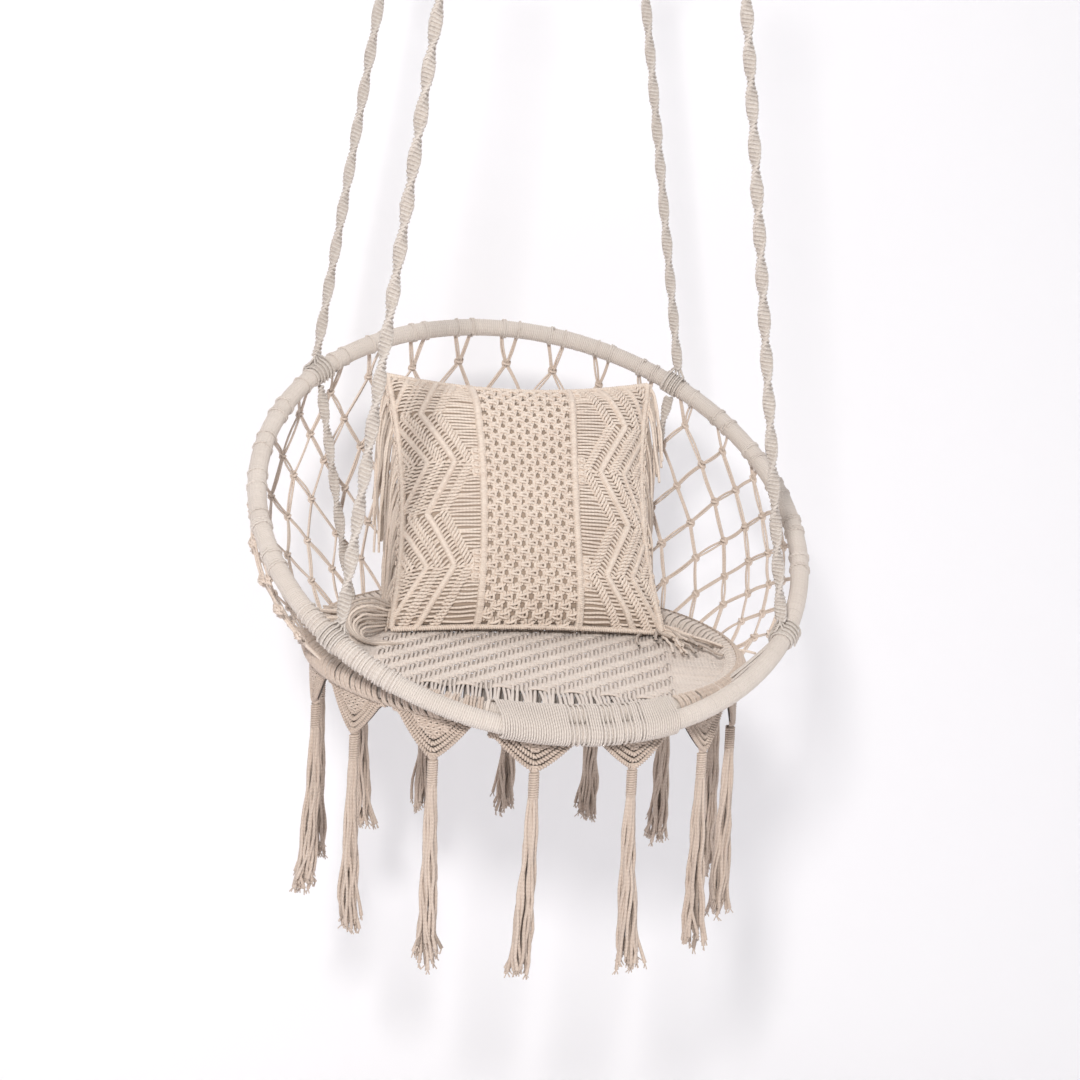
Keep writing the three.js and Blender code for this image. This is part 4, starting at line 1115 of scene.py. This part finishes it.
# The cushion's front as a height over the panel, for laying cords on
tree_of_faces = BVHTree.FromPolygons([v.co for v in cushion.data.vertices],
                                     [tuple(p.vertices) for p in cushion.data.polygons])
GRID, INSIDE_SEAM, SEAM_DEPTH = 65, 0.995, -0.0015
grid_steps = np.linspace(-1, 1, GRID)
front_skin = pillow_shape(*np.meshgrid(grid_steps, grid_steps, indexing="ij"), 0.0)
for a in range(GRID):
    for b in range(GRID):
        x, _, z = front_skin[a, b]
        start = Vector((x * INSIDE_SEAM, -0.2, PILLOW_HIGH + (z - PILLOW_HIGH) * INSIDE_SEAM))
        hit = tree_of_faces.ray_cast(start, Vector((0, 1, 0)))[0]
        front_skin[a, b, 1] = min(hit.y, SEAM_DEPTH) if hit else SEAM_DEPTH
skin_normals = unit(np.cross(np.gradient(front_skin, axis=0), np.gradient(front_skin, axis=1)))
skin_normals *= -np.sign(skin_normals[..., 1:2] + 1e-12)


def on_panel(a, b, lift=0.0):
    """Places on the panel's front, in metres across and up from its middle, raised along the normal."""
    a, b, lift = np.broadcast_arrays(np.asarray(a, float), b, lift)
    gu = (np.clip(a / PANEL_WIDE, -1, 1) + 1) / 2 * (GRID - 1)
    gv = (np.clip(b / PANEL_HIGH, -1, 1) + 1) / 2 * (GRID - 1)
    i, j = np.minimum(gu.astype(int), GRID - 2), np.minimum(gv.astype(int), GRID - 2)
    s, t = (gu - i)[..., None], (gv - j)[..., None]

    def blend(field):
        return (field[i, j] * (1 - s) * (1 - t) + field[i + 1, j] * s * (1 - t)
                + field[i, j + 1] * (1 - s) * t + field[i + 1, j + 1] * s * t)

    return blend(front_skin) + unit(blend(skin_normals)) * lift[..., None]


PANEL_WIDE, PANEL_HIGH, RIB = 0.1945, 0.190, 0.0722
KNOT_PITCH, KNOT_ROW = 0.0247, 0.0104
FAN_PERIOD, FAN_TOP, FAN_BASE, FAN_DEPTH = 0.154, 0.122, 0.008, 0.043
# Outwards from the edge of the fans: bands of bars, then coarse ridges and fine ones with their radii
BAR_BANDS = ((0.0115, 0.0265), (0.0335, 0.0450), (0.0570, 0.0680), (0.0725, 0.0840), (0.0960, 0.1060))
COARSE_RIDGES = (0.0035, 0.0095, 0.0475, 0.0540, 0.0870, 0.0930, 0.1090)
FINE_RIDGES = ((0.0300, 0.0037), (0.0702, 0.0028), (0.1010, 0.0026))
panel = Bundle()


def panel_tubes(a, b, lift, radius):
    panel.tubes(pillow_world(on_panel(a, b, lift)), radius)


def panel_hitches(a, b, radius, pitch, cord, slant):
    """Turns of cord over a carrier that lies on the panel, only their upper halves."""
    route = pillow_world(on_panel(a, b, radius * 0.55))
    lengths = arc_lengths(route)
    count = max(int(lengths[-1] / pitch), 1)
    t = (np.arange(count) + 0.5) * lengths[-1] / count
    middle = at_lengths(route, lengths, t)
    lifted = at_lengths(pillow_world(on_panel(a, b, radius * 0.55 + 0.01)), lengths, t)
    if count < 2:
        return
    tangent = unit(np.gradient(middle, axis=0))
    up = unit(lifted - middle)
    up = unit(up - (up * tangent).sum(-1, keepdims=True) * tangent)
    across = np.cross(tangent, up)
    q = np.linspace(-1.9, 1.9, 6)[None, :, None]
    wobble = 1 + rng.normal(0, 0.05, (count, 1, 1))
    arcs = middle[:, None] + radius * wobble * (np.sin(q) * across[:, None] + np.cos(q) * up[:, None])
    panel.tubes(arcs + tangent[:, None] * slant * radius * np.sin(q), cord / 2)


def square_knots_on_panel(a0, b0, wide, high):
    """Square knots: two side loops, two crossing bars and the cords of the core between them."""
    s = np.linspace(-1, 1, 6)[None]
    bow = 1 - s * s
    for way in (-1, 1):
        bulge = way * wide * (0.0050 + 0.0026 * bow)
        panel_tubes(a0 + bulge, b0 + s * 0.0050 * high, 0.0012 + 0.0032 * bow, 0.0021)
        panel_tubes(a0 + way * wide * 0.0019, b0 + s * 0.0058 * high, 0.0014 + 0.0012 * bow, 0.0020)
    for level, tilt in ((0.0021, 0.0013), (-0.0019, -0.0013)):
        panel_tubes(a0 + s * 0.0068 * wide, b0 + high * (level + tilt * s), 0.0026 + 0.0032 * bow, 0.0020)


def middle_knots():
    """Rows of square knots between the ribs, each half a pitch aside, joined by slanting pairs of cords."""
    first_row = 0.006 - PANEL_HIGH
    places = []
    for row in range(int(-2 * first_row / KNOT_ROW) + 1):
        b = first_row + row * KNOT_ROW
        for k in range(-4, 5):
            a = (k + 0.5 * (row % 2)) * KNOT_PITCH
            if abs(a) < RIB - 0.009:
                places.append((a + rng.normal(0, 0.0006), b + rng.normal(0, 0.0006)))
    a0, b0 = (np.array([p[k] for p in places])[:, None] for k in range(2))
    square_knots_on_panel(a0, b0, 1.04, 1.06)
    s = np.linspace(0, 1, 5)[None]
    fits = b0[:, 0] < PANEL_HIGH - 0.014
    for way in (-1, 1):
        reach = np.minimum(KNOT_PITCH / 2, RIB - 0.005 - way * a0)
        for twin in (-0.0016, 0.0018):
            leg = a0 + way * (0.0032 + (reach - 0.0064) * s) - way * twin * 0.6
            rise = b0 + 0.0038 + (KNOT_ROW - 0.0076) * s + twin
            lift = np.broadcast_to(0.0012 + 0.0006 * np.sin(math.pi * s), leg.shape)
            panel_tubes(leg[fits], rise[fits], lift[fits], 0.0024)


def side_panel(way):
    """Fans of open cords beside the rib, and zigzag ridges with bars between them out to the edge."""
    out_limit = PANEL_WIDE - RIB - 0.0085
    fan_top = FAN_TOP - (0.010 if way > 0 else 0.0)
    levels = np.linspace(-PANEL_HIGH + 0.003, PANEL_HIGH - 0.003, 161)

    def across(out):
        return way * (RIB + 0.0040 + out)

    def fan_edge(b):
        """How far out from the rib a fan of open cords reaches at a height."""
        t = np.abs(((np.asarray(b, float) - fan_top) / FAN_PERIOD + 0.5) % 1 - 0.5) * 2
        return FAN_BASE + FAN_DEPTH * (1 - t)

    def ridge(offset, radius, **more):
        out = fan_edge(levels) + offset
        edges = np.flatnonzero(np.diff(np.r_[False, out < out_limit, False].astype(int)))
        for first, last in zip(edges[::2], edges[1::2]):
            if last - first > 6:
                panel_hitches(across(out[first:last]), levels[first:last], radius, **more)

    # Open cords of the fans
    heights = np.arange(-PANEL_HIGH + 0.005, PANEL_HIGH - 0.003, 0.0053)
    heights = (heights + rng.normal(0, 0.0004, len(heights)))[:, None]
    s = np.linspace(0, 1, 8)[None]
    reach = fan_edge(heights) + 0.002
    wave = 0.0005 * np.sin(s * 5 + rng.random(heights.shape) * 6)
    panel_tubes(across(s * reach), heights + wave, 0.0012 + 0.0009 * np.sin(math.pi * s), 0.0020)

    # Bars between the ridges: square to a ridge that comes in downwards, level where it goes out
    for inner, outer in BAR_BANDS:
        bars = np.arange(-PANEL_HIGH + 0.006, PANEL_HIGH - 0.004, 0.0052)
        bars = bars + rng.normal(0, 0.0004, len(bars))
        coming_in = fan_edge(bars - 0.004) < fan_edge(bars)
        share = np.where(coming_in, 0.64, 1.0)[:, None]
        drop = np.where(coming_in, 0.48, 0.0)[:, None] * (outer - inner)
        s = np.linspace(0, 1, 6)[None]
        out = fan_edge(bars)[:, None] + inner + share * (outer - inner) * s
        b = bars[:, None] - drop * s ** 1.3
        fits = (out[:, -1] < out_limit) & (b[:, -1] > -PANEL_HIGH + 0.004)
        bow = np.broadcast_to(0.0012 + 0.0016 * np.sin(math.pi * s), out.shape)
        panel_tubes(across(out[fits]), b[fits], bow[fits], 0.0019)

    for offset in COARSE_RIDGES:
        ridge(offset, 0.0031, pitch=0.0058, cord=0.0042, slant=0.95)
    for offset, radius in FINE_RIDGES:
        ridge(offset, radius, pitch=0.0026, cord=0.0036, slant=0.3)
    # Small square knots where the ridges come in to the rib
    for number in (-3, -1, 1):
        centre = fan_top + number * FAN_PERIOD / 2
        near = np.array([[centre + step * 0.0110] for step in (-1.5, -0.5, 0.5, 1.5)])
        near = near[np.abs(near[:, 0]) < PANEL_HIGH - 0.006]
        if len(near):
            square_knots_on_panel(across(0.0062) + 0 * near, near, 0.75, 0.9)
    # The smooth rib beside the middle and the rolled edge
    panel_hitches(way * RIB, levels, 0.0044, pitch=0.0026, cord=0.0036, slant=0.2)
    panel_hitches(way * (PANEL_WIDE - 0.0035), levels, 0.0036, pitch=0.0028, cord=0.0036, slant=0.3)


middle_knots()
side_panel(-1)
side_panel(1)
along_edge = np.linspace(-PANEL_WIDE + 0.002, PANEL_WIDE - 0.002, 60)
for level in (-1, 1):
    panel_hitches(along_edge, level * (PANEL_HIGH - 0.0025), 0.0027, pitch=0.0034, cord=0.0038, slant=0.5)
panel.build("pillow_front_knots", pillow_cotton, "pillow", ["pillow_front_panel"], "pillow_cord")


FRINGE_CORDS, FRINGE_STEPS, FRINGE_CORD_RADIUS, HAIRPINS = 84, 18, 0.0020, 9
FRINGE_LENGTH, FRINGE_SHORT, FRINGE_TUFT = 0.185, 0.135, 0.125
SEAT_TOP, HOOP_START = 0.0045, 0.262


def hairpin(root, number):
    """A cord that lies on the seat beside the pillow's lower corner: out, round and back again."""
    from_centre = root - seat_centre
    x, y, height = root[0] - 0.036, float(from_centre @ seat_back) - 0.040, float(from_centre @ SEAT_NORMAL)
    q = np.radians(np.linspace(78, 272, 14))
    radius = 0.009 + 0.0043 * number
    xs = np.r_[x + radius * np.cos(q), x + np.linspace(0.004, 0.018, 4) + 0.0020 * number]
    ys = np.r_[y + radius * np.sin(q), np.full(4, y - radius)] + rng.normal(0, 0.0006, 18)
    lifts = SEAT_TOP + 0.5 * (ys - ys.min()) + 0.8 * np.maximum(np.hypot(xs, ys) - HOOP_START, 0)
    lifts[:2] += max(height - lifts[0], 0) * np.array([0.40, 0.12])
    return np.concatenate([[root], [root + [-0.007, 0.002, 0.001]], on_seat(xs, ys, lifts)])


def pillow_fringe(way):
    """Cords knotted along one edge: they hang plumb from it, and what reaches the seat lies on it."""
    bundle = Bundle()
    left = way < 0
    outward = unit(PILLOW_AXES @ np.array([way, 0.0, 0.0]))
    for number, v in enumerate(np.linspace(-0.98, 0.98, FRINGE_CORDS)):
        root = pillow_world(pillow_shape(way * 1.0, v, 0.0)) + rng.normal(0, 0.0010, 3)
        length = (FRINGE_LENGTH if left or v >= -0.55 else FRINGE_SHORT) + rng.normal(0, 0.018)
        flare = 0.10 + 0.55 * rng.random() ** 1.5
        point, path, heading = root.copy(), [root.copy()], unit(outward * flare - [0, 0, 0.5])
        curl = rng.normal(0, 0.25)
        rest_at = 0.0050 + 0.010 * rng.random()
        drift = np.array([0.02 * way * flare, rng.normal(0.01, 0.03), -1.0])
        # A tuft at the top right corner stands forward
        if not left and v > 0.80:
            length, drift[1], heading = FRINGE_TUFT, drift[1] - 0.42, unit(outward * 0.8 - [0, 0.5, 0.5])
        for _ in range(FRINGE_STEPS):
            height = float((point - on_seat(0, 0)) @ SEAT_NORMAL) - SEAT_TOP
            if height > rest_at + 0.006:
                heading = unit(heading * 0.62 + unit(drift + rng.normal(0, 0.12, 3) * [1, 1, 0]) * 0.38)
            else:
                lie = outward * ([1.0, 1.0, 0] if left else [0.15, 0.15, 0]) + [curl * way, 0.1 if left else -0.8, 0]
                flat_way = unit(lie + rng.normal(0, 0.30, 3))
                level = flat_way - (flat_way @ SEAT_NORMAL) * SEAT_NORMAL + SEAT_NORMAL * (rest_at - height) * 60
                heading = unit(heading * 0.40 + unit(level) * 0.60)
            point = point + heading * length / FRINGE_STEPS
            path.append(point.copy())
        if left and number < HAIRPINS:
            path = hairpin(root, number)
        # Four in ten cords, picked at random, are darkened with painted shade
        own = rng.random() if rng.random() < 0.6 else -0.28
        bundle.tubes(np.array(path), FRINGE_CORD_RADIUS, 6, shade=[own])
        loop = arc(root + outward * 0.003, 0.0028, *perpendicular(outward), np.linspace(0, TURN, 9))
        bundle.tubes(loop, LOOSE_CORD_RADIUS)
    name = "pillow_fringe_left" if left else "pillow_fringe_right"
    bundle.build(f"{name}_cords", pillow_cotton, "pillow", [name], "pillow_cord")


pillow_fringe(-1)
pillow_fringe(1)
cushion.data.transform(Matrix.Translation(Vector(PILLOW_PLACE)) @ lean.to_4x4())
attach(cushion, "pillow")
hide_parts("pillow_insert", "pillow_back_cover")


# Studio: a white sweep that keeps the chair's soft shadow
SWEEP_FLOOR, SWEEP_WALL, SWEEP_BEND, SWEEP_HALF, SWEEP_TOP = -1.95, 0.64, 0.30, 5.0, 4.0
SWEEP_GLOW = 0.24
AMBIENT_COLOR, AMBIENT_STRENGTH = (0.975, 0.965, 1.0, 1), 0.38


def backdrop_material():
    material = bpy.data.materials.new("white sweep")
    material.use_nodes = True
    tree = material.node_tree
    paint = tree.nodes["Principled BSDF"]
    paint.inputs["Base Color"].default_value = (0.97, 0.955, 0.975, 1)
    paint.inputs["Roughness"].default_value = 0.9
    glow, mix = tree.nodes.new("ShaderNodeEmission"), tree.nodes.new("ShaderNodeMixShader")
    tree.links.new(math_node(tree, "MULTIPLY", seen_rays(tree), SWEEP_GLOW), mix.inputs[0])
    tree.links.new(paint.outputs[0], mix.inputs[1])
    tree.links.new(glow.outputs[0], mix.inputs[2])
    # Seen from behind it is clear, so that the chair's back shows
    clear, one_sided = tree.nodes.new("ShaderNodeBsdfTransparent"), tree.nodes.new("ShaderNodeMixShader")
    tree.links.new(tree.nodes.new("ShaderNodeNewGeometry").outputs["Backfacing"], one_sided.inputs[0])
    tree.links.new(mix.outputs[0], one_sided.inputs[1])
    tree.links.new(clear.outputs[0], one_sided.inputs[2])
    tree.links.new(one_sided.outputs[0], tree.nodes["Material Output"].inputs["Surface"])
    return material


bend = [(SWEEP_WALL - SWEEP_BEND + SWEEP_BEND * math.sin(q), SWEEP_FLOOR + SWEEP_BEND - SWEEP_BEND * math.cos(q))
        for q in np.linspace(0, math.pi / 2, 17)]
sweep = [(-SWEEP_HALF, SWEEP_FLOOR), *bend, (SWEEP_WALL, SWEEP_TOP)]
backdrop_mesh = bpy.data.meshes.new("backdrop")
backdrop_mesh.from_pydata([(x, y, z) for y, z in sweep for x in (-SWEEP_HALF, SWEEP_HALF)], [],
                          [(2 * k, 2 * k + 1, 2 * k + 3, 2 * k + 2) for k in range(len(sweep) - 1)])
backdrop = add_object("backdrop", backdrop_mesh)
backdrop.data.materials.append(backdrop_material())
for polygon in backdrop.data.polygons:
    polygon.use_smooth = True


def area_light(name, place, aim, size, power, color=(1, 1, 1)):
    data = bpy.data.lights.new(name, "AREA")
    data.shape, data.size, data.energy, data.color = "DISK", size, power, color
    lamp = add_object(name, data)
    lamp.location = place
    lamp.rotation_euler = (Vector(aim) - Vector(place)).to_track_quat("-Z", "Y").to_euler()


area_light("key light", (-1.25, -2.9, 0.30), (0, 0, -0.95), 0.42, 80, (1.0, 0.985, 0.97))
area_light("fill light", (2.4, -2.2, -0.4), (0, 0, -0.95), 1.8, 14, (0.97, 0.98, 1.0))
area_light("top light", (0.3, 0.6, 1.5), (0, 0, -0.9), 1.5, 16)

world = bpy.data.worlds.new("white studio")
bpy.context.scene.world = world
world.use_nodes = True
tree = world.node_tree
tree.nodes.clear()
seen, lit = tree.nodes.new("ShaderNodeBackground"), tree.nodes.new("ShaderNodeBackground")
seen.inputs["Color"].default_value, seen.inputs["Strength"].default_value = (1, 1, 1, 1), 1.0
lit.inputs["Color"].default_value, lit.inputs["Strength"].default_value = AMBIENT_COLOR, AMBIENT_STRENGTH
switch, out = tree.nodes.new("ShaderNodeMixShader"), tree.nodes.new("ShaderNodeOutputWorld")
tree.links.new(seen_rays(tree), switch.inputs[0])
tree.links.new(lit.outputs[0], switch.inputs[1])
tree.links.new(seen.outputs[0], switch.inputs[2])
tree.links.new(switch.outputs[0], out.inputs["Surface"])
bpy.context.scene.view_settings.view_transform = "Standard"
